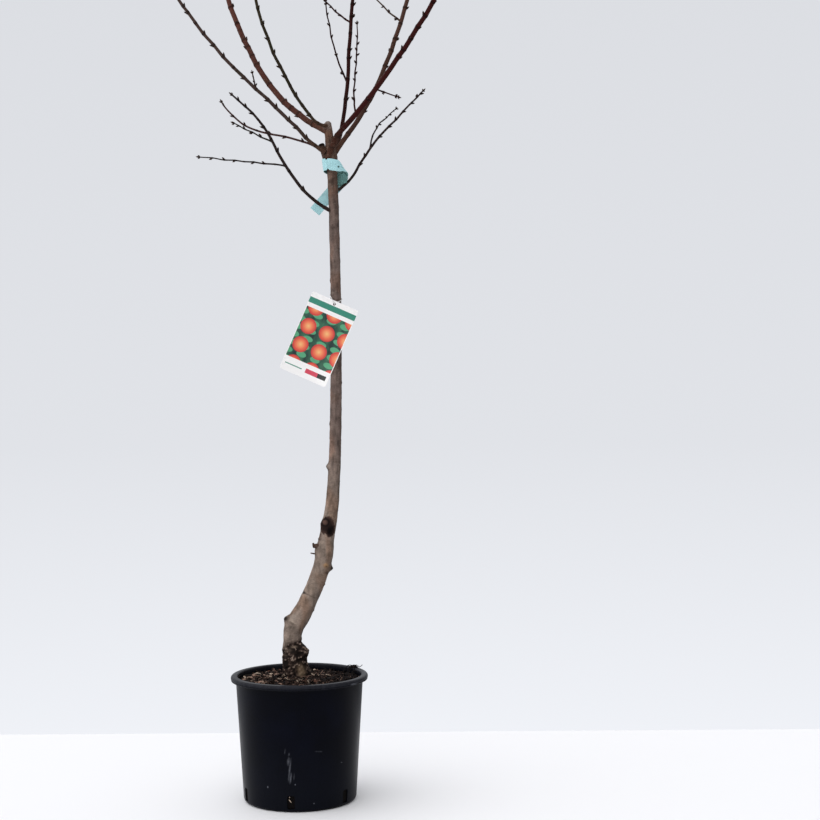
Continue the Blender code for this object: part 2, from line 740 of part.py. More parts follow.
def make_label_band(finish):
    """The blank ribbon: its loop round the trunk, and its free tail that rests on a bough."""
    loop = []
    faces = []
    for side in range(BAND_SIDES):
        angle = math.tau * side / BAND_SIDES
        drop = BAND_DROP * math.cos(angle - math.radians(BAND_DROP_HEADING))
        spot = Vector((BAND_REACH[0] * math.cos(angle), BAND_REACH[1] * math.sin(angle), -drop))
        loop.append(BAND_CENTRE + spot)
        faces.append(Vector((math.cos(angle) / BAND_REACH[0], math.sin(angle) / BAND_REACH[1], 0)).normalized())
    band = add_object("label_band", ribbon(loop, [BAND_UP] * BAND_SIDES, faces, True), finish)
    curve = smooth_line(TAIL_LINE, 4)
    faces = []
    ups = []
    for index, point in enumerate(curve):
        ahead = curve[min(index + 1, len(curve) - 1)] - curve[max(index - 1, 0)]
        face = TAIL_UP.cross(ahead).normalized()
        faces.append(face)
        ups.append(ahead.cross(face).normalized())
    boolean(band, "UNION", [add_object("tail_piece", ribbon(curve, ups, faces, False))])
    boolean(band, "DIFFERENCE", [limb_piece(
        "limb_cutter", "low_right", 0.0, LIMBS["low_right"].split, BOUGH_SIDES, extra=GAP,
    )])
    keep_largest(band)
    return band


def main():
    clear_scene()
    black_plastic = material("black_plastic", (0.012, 0.013, 0.016), 0.45)
    dark_mix = material("dark_mix", (0.030, 0.019, 0.013), 0.95)
    old_bark = material("old_bark", (0.19, 0.15, 0.12), 0.85)
    red_bark = material("red_bark", (0.11, 0.045, 0.03), 0.6)
    dark_twig = material("dark_twig", (0.055, 0.025, 0.02), 0.6)
    printed_card = material("printed_card", (0.75, 0.72, 0.68), 0.4)
    white_loop = material("white_loop", (0.8, 0.8, 0.8), 0.5)
    blue_film = material("blue_film", (0.35, 0.62, 0.68), 0.45)
    make_pot(black_plastic)
    make_potting_mix(dark_mix)
    trunk_object("trunk", old_bark)
    for key, limb in LIMBS.items():
        if limb.split:
            make_bough(key, red_bark)
    for key, twigs in plan_twigs().items():
        make_mass(key, twigs, dark_twig)
    make_label_card(printed_card)
    make_label_loop(white_loop)
    make_label_band(blue_film)


main()
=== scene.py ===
"""The looks of a young nectarine tree in winter, bare and budded, in a round nursery pot.

Metres, +Z up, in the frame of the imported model: the origin is the middle of the pot's flat
underside, -Y faces the viewer and +X is the viewer's right. Headings are degrees round +Z
from +X, and a lean is degrees from upright. It is laid out as an add-on and run as a script.
"""

import functools
import json
import math
import random
from collections import namedtuple

import bmesh
import bpy
from bpy.props import FloatProperty, FloatVectorProperty, IntProperty, PointerProperty
from mathutils import Matrix, Vector, kdtree, noise

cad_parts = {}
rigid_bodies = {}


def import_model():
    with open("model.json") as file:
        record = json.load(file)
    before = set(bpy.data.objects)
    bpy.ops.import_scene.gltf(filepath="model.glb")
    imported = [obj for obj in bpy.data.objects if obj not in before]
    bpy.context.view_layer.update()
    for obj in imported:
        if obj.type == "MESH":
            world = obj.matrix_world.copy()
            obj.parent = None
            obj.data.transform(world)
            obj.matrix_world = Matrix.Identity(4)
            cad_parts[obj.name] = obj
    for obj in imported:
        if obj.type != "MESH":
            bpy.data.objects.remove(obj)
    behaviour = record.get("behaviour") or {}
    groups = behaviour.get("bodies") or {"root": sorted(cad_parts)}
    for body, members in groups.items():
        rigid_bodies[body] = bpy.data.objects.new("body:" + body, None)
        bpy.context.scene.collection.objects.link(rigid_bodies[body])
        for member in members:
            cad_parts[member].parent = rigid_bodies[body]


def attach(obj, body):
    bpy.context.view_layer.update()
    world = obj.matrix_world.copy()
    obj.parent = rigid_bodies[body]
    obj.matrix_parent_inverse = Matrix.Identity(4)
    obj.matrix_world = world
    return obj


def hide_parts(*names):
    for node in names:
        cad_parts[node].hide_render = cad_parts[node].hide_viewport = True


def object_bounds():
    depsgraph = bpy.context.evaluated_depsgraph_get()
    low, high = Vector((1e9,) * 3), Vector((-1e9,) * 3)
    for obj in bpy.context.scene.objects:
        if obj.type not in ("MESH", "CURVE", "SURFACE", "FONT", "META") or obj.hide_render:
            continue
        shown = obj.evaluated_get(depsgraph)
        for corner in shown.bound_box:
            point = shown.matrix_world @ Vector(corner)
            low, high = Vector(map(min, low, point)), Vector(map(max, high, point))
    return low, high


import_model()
CAD_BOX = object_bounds()

bl_info = {
    "name": "Potted nectarine tree",
    "version": (1, 0, 0),
    "blender": (4, 5, 0),
    "location": "3D View > Sidebar > Nursery",
    "description": "Dresses the packed model of a young nectarine tree in its nursery pot",
    "category": "Add Mesh",
}

BODY = "root"

# Pot
POT_HEIGHT = 0.220
POT_FOOT_RADIUS = 0.0995
POT_NECK_RADIUS = 0.112
POT_LIP_RADIUS = 0.121
POT_LIP_DROP = 0.009
POT_WALL = 0.0016
POT_FLOOR = 0.003
POT_CORNER = 0.007
SLOT_COUNT = 6
SLOT_WIDTH = 0.013
SLOT_BOTTOM = 0.006
SLOT_TOP = 0.029
SLOT_HEADING = 265.0

# Potting mix
MIX_EDGE_HEIGHT = 0.2085
MIX_HEAP_HEIGHT = 0.2137
MIX_EDGE_RADIUS = 0.1098
MIX_RINGS = 64
MIX_SIDES = 180
LITTER_REACH = 0.1075
CHIP_EDGE = MIX_EDGE_RADIUS - 0.0004
FIBRE_EDGE = MIX_EDGE_RADIUS - 0.001
FIBRE_STEPS = 12

# Crumbs spilled on the rim at the right
RIM_CRUMBS = 60
RIM_CRUMB_PLACE = Vector((0.0935, 0.0640, 0.2212))
RIM_CRUMB_HEIGHT = 0.2208
RIM_REACH = 0.1175
RIM_INSIDE = 0.1155

# Trunk: height, place across, place in depth and radius, from the flat cut to the tip
TRUNK_FOOT = 0.2140
TRUNK_TIP = 1.198
TRUNK_LINE = (
    (TRUNK_FOOT, -0.004, 0.000, 0.0250),
    (0.235, -0.007, 0.000, 0.0208),
    (0.252, -0.009, -0.001, 0.0192),
    (0.283, -0.012, -0.002, 0.0161),
    (0.305, -0.008, -0.002, 0.0174),
    (0.320, 0.001, -0.001, 0.0176),
    (0.340, 0.012, 0.000, 0.0159),
    (0.390, 0.034, 0.004, 0.0151),
    (0.432, 0.046, 0.006, 0.0150),
    (0.456, 0.049, 0.006, 0.0134),
    (0.500, 0.057, 0.005, 0.0122),
    (0.560, 0.063, 0.003, 0.0110),
    (0.700, 0.068, -0.002, 0.0102),
    (0.880, 0.069, -0.003, 0.0094),
    (1.030, 0.0665, 0.001, 0.0090),
    (1.110, 0.064, 0.002, 0.0091),
    (1.136, 0.062, 0.002, 0.0098),
    (1.153, 0.0605, 0.002, 0.0086),
    (1.174, 0.059, 0.001, 0.0071),
    (TRUNK_TIP, 0.0567, 0.000, 0.0056),
)
ROOT_FLARE_LOBES = 3
ROOT_FLARE_RISE = 0.08
ROOT_FLARE_FADE = 0.018

# Swellings of the trunk: height, heading, rise and spread
Bump = namedtuple("Bump", "height heading rise spread")
TRUNK_BUMPS = (
    Bump(0.259, 340, 0.0095, 0.0105),
    Bump(0.258, 184, 0.0016, 0.0120),
    Bump(0.240, 215, 0.0026, 0.0100),
    Bump(0.309, 193, 0.0044, 0.0045),
    Bump(0.361, 250, -0.0016, 0.0060),
    Bump(0.410, 352, 0.0036, 0.0058),
    Bump(0.437, 185, 0.0042, 0.0125),
    Bump(1.186, 165, 0.0026, 0.0085),
    Bump(0.483, 268, 0.0020, 0.0150),
    Bump(0.483, 190, 0.0018, 0.0100),
    Bump(0.586, 188, 0.0038, 0.0052),
    Bump(1.133, 40, 0.0020, 0.0100),
)

# Sawn-off and broken stubs: foot, heading, lean, length, foot and tip radius, and how black
Stub = namedtuple("Stub", "foot heading lean length base tip black")
STUBS = (
    Stub((0.0560, 0.002, 1.124), 185, 19, 0.0360, 0.0062, 0.0053, 1.0),
    Stub((0.0450, 0.002, 0.4465), 190, 92, 0.0205, 0.0056, 0.0034, 0.5),
    Stub((0.0268, 0.001, 0.4455), 175, 12, 0.0062, 0.0026, 0.0016, 0.6),
    Stub((0.0340, 0.002, 0.4310), 188, 80, 0.0140, 0.0016, 0.0010, 0.2),
)

STUB_SIDES = 28

# Limbs, as the solids have them: a bough as far as `split`, then the stem of a mass of twigs
LEAN_SHARES = (0.0, 0.08, 0.25, 0.55, 1.0)
Limb = namedtuple("Limb", "foot heading turn leans length base tip split")
LIMBS = {
    "far_left": Limb((0.052, -0.003, 1.142), 204, 8, (64, 47, 53, 39, 20), 0.62, 0.0032, 0.0010, 0.34),
    "left": Limb((0.058, 0.000, 1.180), 152, -12, (68, 54, 33, 15, 4), 0.80, 0.0054, 0.0010, 0.36),
    "front_left": Limb((0.057, -0.001, 1.189), 232, 20, (100, 54, 42, 12, 4), 0.66, 0.0028, 0.0009, 0.36),
    "low_left": Limb((0.065, 0.000, 1.037), 206, -8, (70, 61, 44, 27, 56), 0.275, 0.0030, 0.0010, 0.30),
    "low_right": Limb((0.065, 0.001, 1.069), 26, 8, (55, 52, 30, 45, 46), 0.280, 0.0024, 0.0009, 0.36),
    "front_right": Limb((0.058, -0.003, 1.130), 314, 12, (16, 59, 50, 38, 20), 0.76, 0.0048, 0.0010, 0.12),
    "right": Limb((0.063, 0.003, 1.133), 30, 8, (35, 38, 24, 15, 8), 0.80, 0.0044, 0.0010, 0.32),
    "back": Limb((0.062, 0.003, 1.145), 72, -12, (72, 28, 7, 17, 14), 0.80, 0.0037, 0.0010, 0.18),
    "stub": Limb((0.050, 0.003, 1.138), 168, 12, (29, 56, 75, 77, 29), 0.220, 0.0019, 0.0009, 0.0),
}
LIMB_STEPS = 80
LOW_FOOT = 1.10
COLLAR_SWELL = 0.55
COLLAR_FADE = 0.009

# Side twigs in known places: share along the limb, heading, turn, leans, length and radii
Twig = namedtuple("Twig", "share heading turn leans length base tip")
KNOWN_TWIGS = {
    "low_left": (
        Twig(0.43, 186, 6, (77, 83, 87, 85, 86), 0.153, 0.0013, 0.0008),
        Twig(0.60, 165, 10, (65, 65, 64, 63, 62), 0.082, 0.0013, 0.0008),
    ),
    "low_right": (
        Twig(0.41, 62, 0, (6, 20, 41, 60, 59), 0.140, 0.0013, 0.0008),
    ),
    "front_right": (
        Twig(0.135, 200, 0, (22, 5, -4, -5, 1), 0.160, 0.0013, 0.0008),
        Twig(0.215, 20, 0, (109, 108, 106, 104, 103), 0.045, 0.0012, 0.0008),
    ),
    "right": (
        Twig(0.375, 150, 0, (53, 51, 48, 44, 42), 0.110, 0.0014, 0.0008),
    ),
    "back": (
        Twig(0.21, 165, 0, (31, 24, 17, 11, 3), 0.200, 0.0014, 0.0008),
        Twig(0.355, 150, 0, (60, 56, 49, 43, 40), 0.130, 0.0014, 0.0008),
    ),
}

# Seeded side twigs, by the rule that the solids follow
YOUNG_WOOD_HEIGHT = 1.435
CROWN_TOP = 1.885
TWIG_SPACING = 0.062
TWIG_SWING = 137.5
TWIG_SPREAD = 42.0
TWIG_LENGTH = 0.20
TWIG_BASE = 0.0013
TWIG_TIP = 0.0008
TWIG_STEPS = 10
TWIG_CLEARANCE = 0.007

# Finer twigs that only the looks have: short spurs, and one known spur
SPUR_LENGTHS = (0.008, 0.034)
SPUR_SPREAD = 48.0
SPUR_BASE = 0.0011
SPUR_TIP = 0.0008
SPUR_CHANCES = {"limb": 0.24, "twig": 0.12}
KNOWN_SPURS = {"far_left": (Twig(0.264, 215, 0, (14, 14, 14, 14, 14), 0.031, 0.0011, 0.0008),)}

# Young wood looks stouter than its plain solids: side twigs all along, stems towards their tips
TWIG_STOUTNESS = 1.22
STEM_STOUTNESS = 0.40

# Nodes: where buds sit, in a spiral round each shoot
NODE_SPACING = {"limb": 0.026, "twig": 0.019, "spur": 0.008}
NODE_SWING = 144.0

# Nodes in known places: share along the shoot, positive on its right side and negative on its
# left as the viewer sees it. Shoots are named by their limb and 0, or by their known twig's number.
KNOWN_NODES = {
    ("far_left", 0): (0.07, -0.11, 0.14, 0.19, -0.22, -0.31, 0.39, -0.43, 0.47, -0.54, 0.56),
    ("left", 0): (-0.09, 0.14, 0.26, -0.31, 0.33, 0.42),
    ("front_left", 0): (-0.08, 0.15, -0.21, -0.24, 0.28, -0.32, 0.36),
    ("low_left", 0): (0.25, 0.54, -0.71, -0.82, 0.88, 0.94),
    ("low_left", 1): (0.25, -0.37, -0.58, 0.70, -0.84),
    ("low_left", 2): (0.30, -0.51, 0.70, -0.84),
    ("stub", 0): (0.22, -0.37, 0.50, 0.72, -0.84),
    ("back", 0): (0.17, 0.27, 0.29, 0.37, 0.40),
    ("back", 1): (-0.10, 0.46, -0.57, 0.67),
    ("right", 0): (0.14, 0.26, -0.30, 0.33, 0.41),
    ("front_right", 0): (0.06, 0.31, -0.33, 0.39, -0.42),
    ("front_right", 1): (-0.16, 0.25, -0.37, 0.44, -0.56, 0.64, -0.70, 0.76, -0.84),
    ("low_right", 0): (0.28, -0.35, 0.52, 0.62, -0.69, 0.77, 0.86, -0.92, 0.96),
    ("low_right", 1): (-0.35, 0.44, -0.67, 0.76),
}

# Hang tag and its thread
CARD_SIZE = (0.088, 0.0005, 0.147)
CARD_CENTRE = Vector((0.0395, -0.01455, 0.811))
CARD_TURN = 24.0
CARD_CORNER = 0.004
CARD_HOLE_RADIUS = 0.0025
CARD_HOLE_INSET = 0.006
CARD_GRID = (44, 74)
LOOP_RADIUS = 0.0006
GAP = 0.0003

# Ribbon label
BAND_WIDTH = 0.021
BAND_THICKNESS = 0.0005
BAND_CENTRE = Vector((0.0690, -0.0010, 1.1145))
BAND_REACH = (0.0212, 0.0155)
BAND_DROP = 0.005
BAND_DROP_HEADING = 35.0
BAND_UP = Vector((-0.15, 0.0, 0.99))
BAND_FOLD_ANGLE = math.radians(232)
BAND_SIDES = 150
BAND_ROWS = 14
BAND_HOLE_PLACE = Vector((0.0760, -0.0165, 1.1145))
BAND_HOLE_RADIUS = 0.0018
TAIL_LINE = (
    Vector((0.0885, 0.0040, 1.1020)),
    Vector((0.0815, 0.0110, 1.0955)),
    Vector((0.0700, 0.0140, 1.0830)),
    Vector((0.0510, 0.0155, 1.0620)),
    Vector((0.0318, 0.0150, 1.0395)),
)
TAIL_UP = Vector((-0.75, 0.0, 0.66))

# Camera: the photograph's place, level, with its slight roll
CAMERA_PLACE = Vector((0.1988, -2.655, 0.6854))
CAMERA_LENS = 65.85
CAMERA_ROLL = 0.4
SENSOR_WIDTH = 36.0
FLOOR_SIZE = (14.0, 9.0)

# Bark and bud colours
BARK_TINTS = {
    "far_left": (0.062, 0.038, 0.032),
    "left": (0.088, 0.031, 0.023),
    "front_left": (0.034, 0.026, 0.014),
    "low_left": (0.022, 0.014, 0.013),
    "low_right": (0.026, 0.014, 0.013),
    "front_right": (0.034, 0.0050, 0.0042),
    "right": (0.064, 0.030, 0.022),
    # The back limb's near-black red is partly its own bark colour and partly painted shade, as it stands
    # behind the trunk.
    "back": (0.023, 0.0035, 0.0030),
    "stub": (0.048, 0.020, 0.018),
}


def share_between(low, high, where):
    """How far a number is from low to high, eased, between 0 and 1."""
    reach = max(0.0, min(1.0, (where - low) / (high - low)))
    return reach * reach * (3 - 2 * reach)


def bell(away, spread):
    """One at no distance, falling off smoothly over a spread."""
    return math.exp(-(away / spread) ** 2)


def blend(first, second, share):
    """A colour between two colours."""
    return tuple(a + (b - a) * share for a, b in zip(first, second))


def shaded(colour, factor):
    """A colour made lighter or darker."""
    return tuple(channel * factor for channel in colour)


# Making objects


def place_mesh(name, mesh, materials):
    """Put a mesh into the scene as an object with these materials."""
    for finish in materials:
        mesh.materials.append(finish)
    made = bpy.data.objects.new(name, mesh)
    bpy.context.scene.collection.objects.link(made)
    return made


def add_object(name, bm, materials, sharp=40.0):
    """Turn a bmesh into a smooth-shaded object with sharp edges above an angle."""
    mesh = bpy.data.meshes.new(name)
    bm.to_mesh(mesh)
    bm.free()
    mesh.shade_smooth()
    mesh.set_sharp_from_angle(angle=math.radians(sharp))
    return place_mesh(name, mesh, materials)


def mount_piece(piece, slot, *nodes):
    """Fix a finished piece to the tree's body, as the stand-in for some of the model's nodes."""
    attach(piece, BODY)
    if nodes:
        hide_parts(*nodes)


def apply_modifiers(target):
    """Put the evaluated mesh in place of the modifiers."""
    graph = bpy.context.evaluated_depsgraph_get()
    mesh = bpy.data.meshes.new_from_object(target.evaluated_get(graph))
    target.modifiers.clear()
    old = target.data
    target.data = mesh
    bpy.data.meshes.remove(old)


def boolean(target, operation, others):
    """One exact Boolean with a collection of objects, which are then removed."""
    batch = bpy.data.collections.new("batch")
    bpy.context.scene.collection.children.link(batch)
    for other in others:
        bpy.context.scene.collection.objects.unlink(other)
        batch.objects.link(other)
    change = target.modifiers.new("change", "BOOLEAN")
    change.operation = operation
    change.operand_type = "COLLECTION"
    change.collection = batch
    change.solver = "EXACT"
    apply_modifiers(target)
    for other in list(batch.objects):
        bpy.data.objects.remove(other)
    bpy.data.collections.remove(batch)


def weld(bm):
    """Merge coincident vertices and turn the faces out."""
    bmesh.ops.remove_doubles(bm, verts=bm.verts, dist=1e-6)
    bmesh.ops.recalc_face_normals(bm, faces=bm.faces)


def thicken(bm, thickness):
    """Turn a sheet's faces one way and give it its thickness."""
    bmesh.ops.recalc_face_normals(bm, faces=bm.faces)
    bmesh.ops.solidify(bm, geom=list(bm.faces), thickness=thickness)
    bmesh.ops.recalc_face_normals(bm, faces=bm.faces)


def punch(target, radius, depth, segments, place):
    """Cut a round hole along the depth axis."""
    bm = bmesh.new()
    bmesh.ops.create_cone(
        bm, cap_ends=True, segments=segments, radius1=radius, radius2=radius, depth=depth,
    )
    bmesh.ops.rotate(bm, verts=bm.verts, cent=(0, 0, 0), matrix=Matrix.Rotation(math.pi / 2, 3, "X"))
    bmesh.ops.translate(bm, verts=bm.verts, vec=place)
    boolean(target, "DIFFERENCE", [add_object("hole_cutter", bm, [])])


def sleeve(rings, sides):
    """A closed straight tube of unit height, one ring above another, as a bmesh.

    Each vertex of its wall holds its angle in turns as x and its ring number as y.
    """
    bm = bmesh.new()
    bmesh.ops.create_grid(bm, x_segments=sides, y_segments=rings - 1, size=0.5)
    for vert in bm.verts:
        vert.co = Vector((vert.co.x + 0.5, round((vert.co.y + 0.5) * (rings - 1)), 0.0))
    return bm


def close_sleeve(bm):
    """Merge a shaped sleeve's seam, close its ends and turn its faces out."""
    bmesh.ops.remove_doubles(bm, verts=bm.verts, dist=1e-6)
    rims = [edge for edge in bm.edges if edge.is_boundary]
    bmesh.ops.holes_fill(bm, edges=rims, sides=0)
    bmesh.ops.recalc_face_normals(bm, faces=bm.faces)


class Bundle:
    """Many small closed shapes gathered as arrays and made one joined mesh."""

    def __init__(self):
        self.points = []
        self.faces = []
        self.tints = []

    def add(self, points, faces, tint):
        """Add one shape; tint is its material's number, or one number for each face."""
        start = len(self.points)
        self.points.extend(points)
        self.faces.extend([tuple(start + corner for corner in face) for face in faces])
        self.tints.extend(tint if isinstance(tint, list) else [tint] * len(faces))

    def build(self, name, materials, smooth=True):
        """The joined mesh as an object."""
        mesh = bpy.data.meshes.new(name)
        mesh.from_pydata(self.points, [], self.faces)
        made = place_mesh(name, mesh, materials)
        mesh.polygons.foreach_set("material_index", self.tints)
        if smooth:
            mesh.shade_smooth()
            mesh.set_sharp_from_angle(angle=math.radians(50))
        return made


@functools.lru_cache(maxsize=None)
def tube_faces(rings, sides):
    """The faces of a closed tube whose last two points are the poles of its ends."""
    faces = []
    for ring in range(rings - 1):
        for side in range(sides):
            after = (side + 1) % sides
            low = ring * sides
            high = low + sides
            faces.append((low + side, low + after, high + after, high + side))
    first_pole = rings * sides
    top = (rings - 1) * sides
    for side in range(sides):
        after = (side + 1) % sides
        faces.append((after, side, first_pole))
        faces.append((top + side, top + after, first_pole + 1))
    return faces


# The growth rule


def along(heading, lean):
    """The unit direction with this heading and lean, in degrees."""
    turn = math.radians(heading)
    tip = math.radians(lean)
    return Vector((math.sin(tip) * math.cos(turn), math.sin(tip) * math.sin(turn), math.cos(tip)))


def ray(angle, side, other):
    """The direction at an angle round a line, from its two side directions."""
    return side * math.cos(angle) + other * math.sin(angle)


def between(stations, values, where):
    """A value read from stations by straight steps."""
    for index in range(len(stations) - 1):
        if where <= stations[index + 1]:
            break
    reach = (where - stations[index]) / (stations[index + 1] - stations[index])
    return values[index] + (values[index + 1] - values[index]) * max(0.0, min(1.0, reach))


def grow(foot, shoot, steps):
    """The points of a limb or twig, from its foot, along its heading and leans."""
    points = [Vector(foot)]
    for step in range(steps):
        share = (step + 0.5) / steps
        lean = between(LEAN_SHARES, shoot.leans, share)
        heading = shoot.heading + shoot.turn * share
        points.append(points[-1] + along(heading, lean) * (shoot.length / steps))
    return points


def point_at(points, share):
    """The point at a share of a line of equal steps."""
    place = max(0.0, min(1.0, share)) * (len(points) - 1)
    index = min(int(place), len(points) - 2)
    return points[index].lerp(points[index + 1], place - index)


def heading_at(points, share):
    """The unit direction of a line at a share of its length."""
    ahead = point_at(points, min(share + 0.01, 1.0))
    behind = point_at(points, max(share - 0.01, 0.0))
    return (ahead - behind).normalized()


def limb_radius(limb, share):
    """A limb tapers towards its tip, and its foot swells into a collar."""
    taper = limb.tip + (limb.base - limb.tip) * (1.0 - share) ** 0.8
    collar = 1.0 + COLLAR_SWELL * math.exp(-share * limb.length / COLLAR_FADE)
    return taper * collar * (1.0 + STEM_STOUTNESS * share)


def twig_radius(twig, share):
    """A side twig tapers evenly and swells a little at its foot."""
    collar = 1.0 + 0.45 * math.exp(-share * twig.length / 0.003)
    return (twig.base + (twig.tip - twig.base) * share) * collar * TWIG_STOUTNESS


def nearest(point, points):
    """How far a point is from the nearest of some points."""
    return min((point - other).length for other in points)


def twig_fits(key, twig, line, stems, grown):
    """Whether a twig stays under the crown's top, in its own limb's space and clear of the rest."""
    for index, point in enumerate(line):
        if point.z > CROWN_TOP:
            return False
        if index < 3:
            continue
        own = nearest(point, stems[key])
        if own < TWIG_CLEARANCE:
            return False
        if any(nearest(point, stem) < own for other, stem in stems.items() if other != key):
            return False
        if any(nearest(point, other) < TWIG_CLEARANCE + twig.base for other in grown):
            return False
    return True


def side_shoot(line, share, swing, spread, length, base, tip):
    """A shoot that leaves a line at an angle, on the side that swing gives, and turns up."""
    forward = heading_at(line, share)
    outward = along(swing, 90)
    outward = (outward - forward * outward.dot(forward)).normalized()
    leave = forward * math.cos(math.radians(spread)) + outward * math.sin(math.radians(spread))
    lean = math.degrees(math.acos(max(-1.0, min(1.0, leave.z))))
    heading = math.degrees(math.atan2(leave.y, leave.x))
    leans = [lean * ease for ease in (1.0, 0.95, 0.85, 0.7, 0.5)]
    return Twig(share, heading, 0, leans, length, base, tip)


def seeded_twigs(key, stems, grown):
    """Side twigs by a seeded rule: each swings round the limb, leaves it at an angle and turns up."""
    limb = LIMBS[key]
    stem = stems[key]
    rule = random.Random("twigs of " + key)
    swing = rule.uniform(0, 360)
    share = limb.split
    twigs = []
    while True:
        share += TWIG_SPACING / limb.length * rule.uniform(0.7, 1.3)
        swing += TWIG_SWING + rule.uniform(-20, 20)
        size = rule.uniform(0.55, 1.0)
        if share > 0.95:
            return twigs
        foot = point_at(stem, share)
        if foot.z < YOUNG_WOOD_HEIGHT:
            continue
        length = TWIG_LENGTH * size * (1.15 - share)**0.6
        twig = side_shoot(stem, share, swing, TWIG_SPREAD, length, TWIG_BASE, TWIG_TIP)
        line = grow(foot, twig, TWIG_STEPS)
        if twig_fits(key, twig, line, stems, grown):
            grown.append(line)
            twigs.append(twig)


@functools.lru_cache(maxsize=None)
def limb_lines():
    """Every limb's line."""
    return {key: grow(limb.foot, limb, LIMB_STEPS) for key, limb in LIMBS.items()}


@functools.lru_cache(maxsize=None)
def twig_plan():
    """Every limb's side twigs, the known ones first, then the seeded ones."""
    stems = limb_lines()
    plan = {key: list(KNOWN_TWIGS.get(key, ())) for key in LIMBS}
    grown = []
    for key, twigs in plan.items():
        grown += [grow(point_at(stems[key], twig.share), twig, TWIG_STEPS) for twig in twigs]
    for key in LIMBS:
        plan[key] += seeded_twigs(key, stems, grown)
    return plan


# Shoots: a line, its radius and its nodes, shared by the wood and the buds


Node = namedtuple("Node", "place swing size")


class Shoot:
    """One limb, twig or spur, with the nodes along it."""

    def __init__(self, kind, name, line, shape, radius, start=0.0):
        self.kind = kind
        self.key, self.number = name
        self.line = line
        self.length = shape.length
        self.radius_at = radius
        self.start = start
        self.sides = self.carry_sides()
        self.nodes = self.seed_nodes()

    def carry_sides(self):
        """A side direction at each of the line's points, turned along it as little as can be."""
        side = heading_at(self.line, 0.0).orthogonal()
        sides = []
        for index in range(len(self.line)):
            forward = heading_at(self.line, index / (len(self.line) - 1))
            side = (side - forward * side.dot(forward)).normalized()
            sides.append(side)
        return sides

    def frame_at(self, place):
        """Point, forward, side and other side at a place."""
        share = place / self.length
        forward = heading_at(self.line, share)
        side = point_at(self.sides, share)
        side = (side - forward * side.dot(forward)).normalized()
        return point_at(self.line, share), forward, side, forward.cross(side)

    def turned_to(self, place, direction):
        """The angle round the shoot that faces a direction."""
        _, _, side, other = self.frame_at(place)
        return math.atan2(direction.dot(other), direction.dot(side))

    def seed_nodes(self):
        """The known nodes, then nodes in a spiral on to the tip."""
        rule = random.Random(f"nodes {self.kind} {self.key} {self.number}")
        spacing = NODE_SPACING[self.kind]
        nodes = []
        for signed_share in KNOWN_NODES.get((self.key, self.number), ()):
            place = abs(signed_share) * self.length
            rightward = Vector((0, 1, 0)).cross(self.frame_at(place)[1])
            before = nodes[-1].place if nodes else 0.0
            if place - before > spacing * 1.5:
                toward = self.turned_to(place, Vector((0, rule.choice((-1, 1)), 0)))
                nodes.append(Node((place + before) / 2, toward, rule.uniform(0.75, 1.0)))
            outward = rightward * math.copysign(1, signed_share)
            swing = self.turned_to(place, outward) + rule.uniform(-0.5, 0.5)
            nodes.append(Node(place, swing, rule.uniform(1.0, 1.2)))
        place = spacing * rule.uniform(0.45, 0.8) + (0.012 if self.kind == "limb" else 0.0)
        if nodes:
            place = nodes[-1].place + spacing
        swing = rule.uniform(0, 360)
        while place < self.length - spacing * 0.35:
            nodes.append(Node(place, math.radians(swing), rule.uniform(0.75, 1.15)))
            tip_crowding = 1.0 - 0.45 * share_between(0.75, 1.0, place / self.length)
            place += spacing * rule.uniform(0.7, 1.3) * tip_crowding
            swing += NODE_SWING + rule.uniform(-14, 14)
        return nodes

    def ring_places(self, spacing, start=0.0, end=None):
        """Where rings go: evenly, and closer together at each node."""
        end = self.length if end is None else end
        count = max(2, round((end - start) / spacing))
        places = [start + (end - start) * index / count for index in range(count + 1)]
        for node in self.nodes:
            places += [node.place + step for step in (-0.0026, -0.0012, -0.0004, 0.0004, 0.0014, 0.0030)]
        kept = []
        for place in sorted(places):
            if start <= place <= end and (not kept or place - kept[-1] > 0.0004):
                kept.append(place)
        kept[-1] = end
        return kept

    def sway(self, place, here):
        """The small zigzag of a shoot, which bends away from each bud."""
        _, _, side, other = here
        reach = {"limb": 0.0007, "twig": 0.0009, "spur": 0.0003}[self.kind]
        shift = Vector((0.0, 0.0, 0.0))
        for node in self.nodes:
            away = abs(place - node.place) / (NODE_SPACING[self.kind] * 0.9)
            if away < 1.0:
                outward = ray(node.swing, side, other)
                shift -= outward * reach * (1.0 - away)
        fade = share_between(0.0, 0.02, place)
        return shift * fade

    def swell(self, place, angle, radius):
        """How far a node lifts the bark at a place and angle: a ring, and a shelf under the bud."""
        rise = 0.0
        for node in self.nodes:
            away = place - node.place
            if abs(away) > 0.006:
                continue
            rise += radius * 0.13 * bell(away, 0.0024)
            turn = (angle - node.swing + math.pi) % math.tau - math.pi
            below = (away + 0.0006) / 0.0015
            shelf = min(0.0012, radius * 0.65) * node.size
            rise += shelf * math.exp(-(turn / 0.70) ** 2 - below * below)
        return rise

    def darkening(self, place):
        """How dark the bark is near a node, from 0 to 1."""
        return max([bell(place - node.place, 0.0024) for node in self.nodes] or [0.0])


def limb_shoot(key):
    """A limb as a shoot."""
    limb = LIMBS[key]
    line = limb_lines()[key]
    return Shoot("limb", (key, 0), line, limb, lambda share: limb_radius(limb, share), limb.split)


def twig_shoot(name, kind, parent, twig):
    """A side twig or spur as a shoot."""
    steps = TWIG_STEPS if kind == "twig" else 5
    line = grow(point_at(parent, twig.share), twig, steps)
    return Shoot(kind, name, line, twig, lambda share: twig_radius(twig, share))


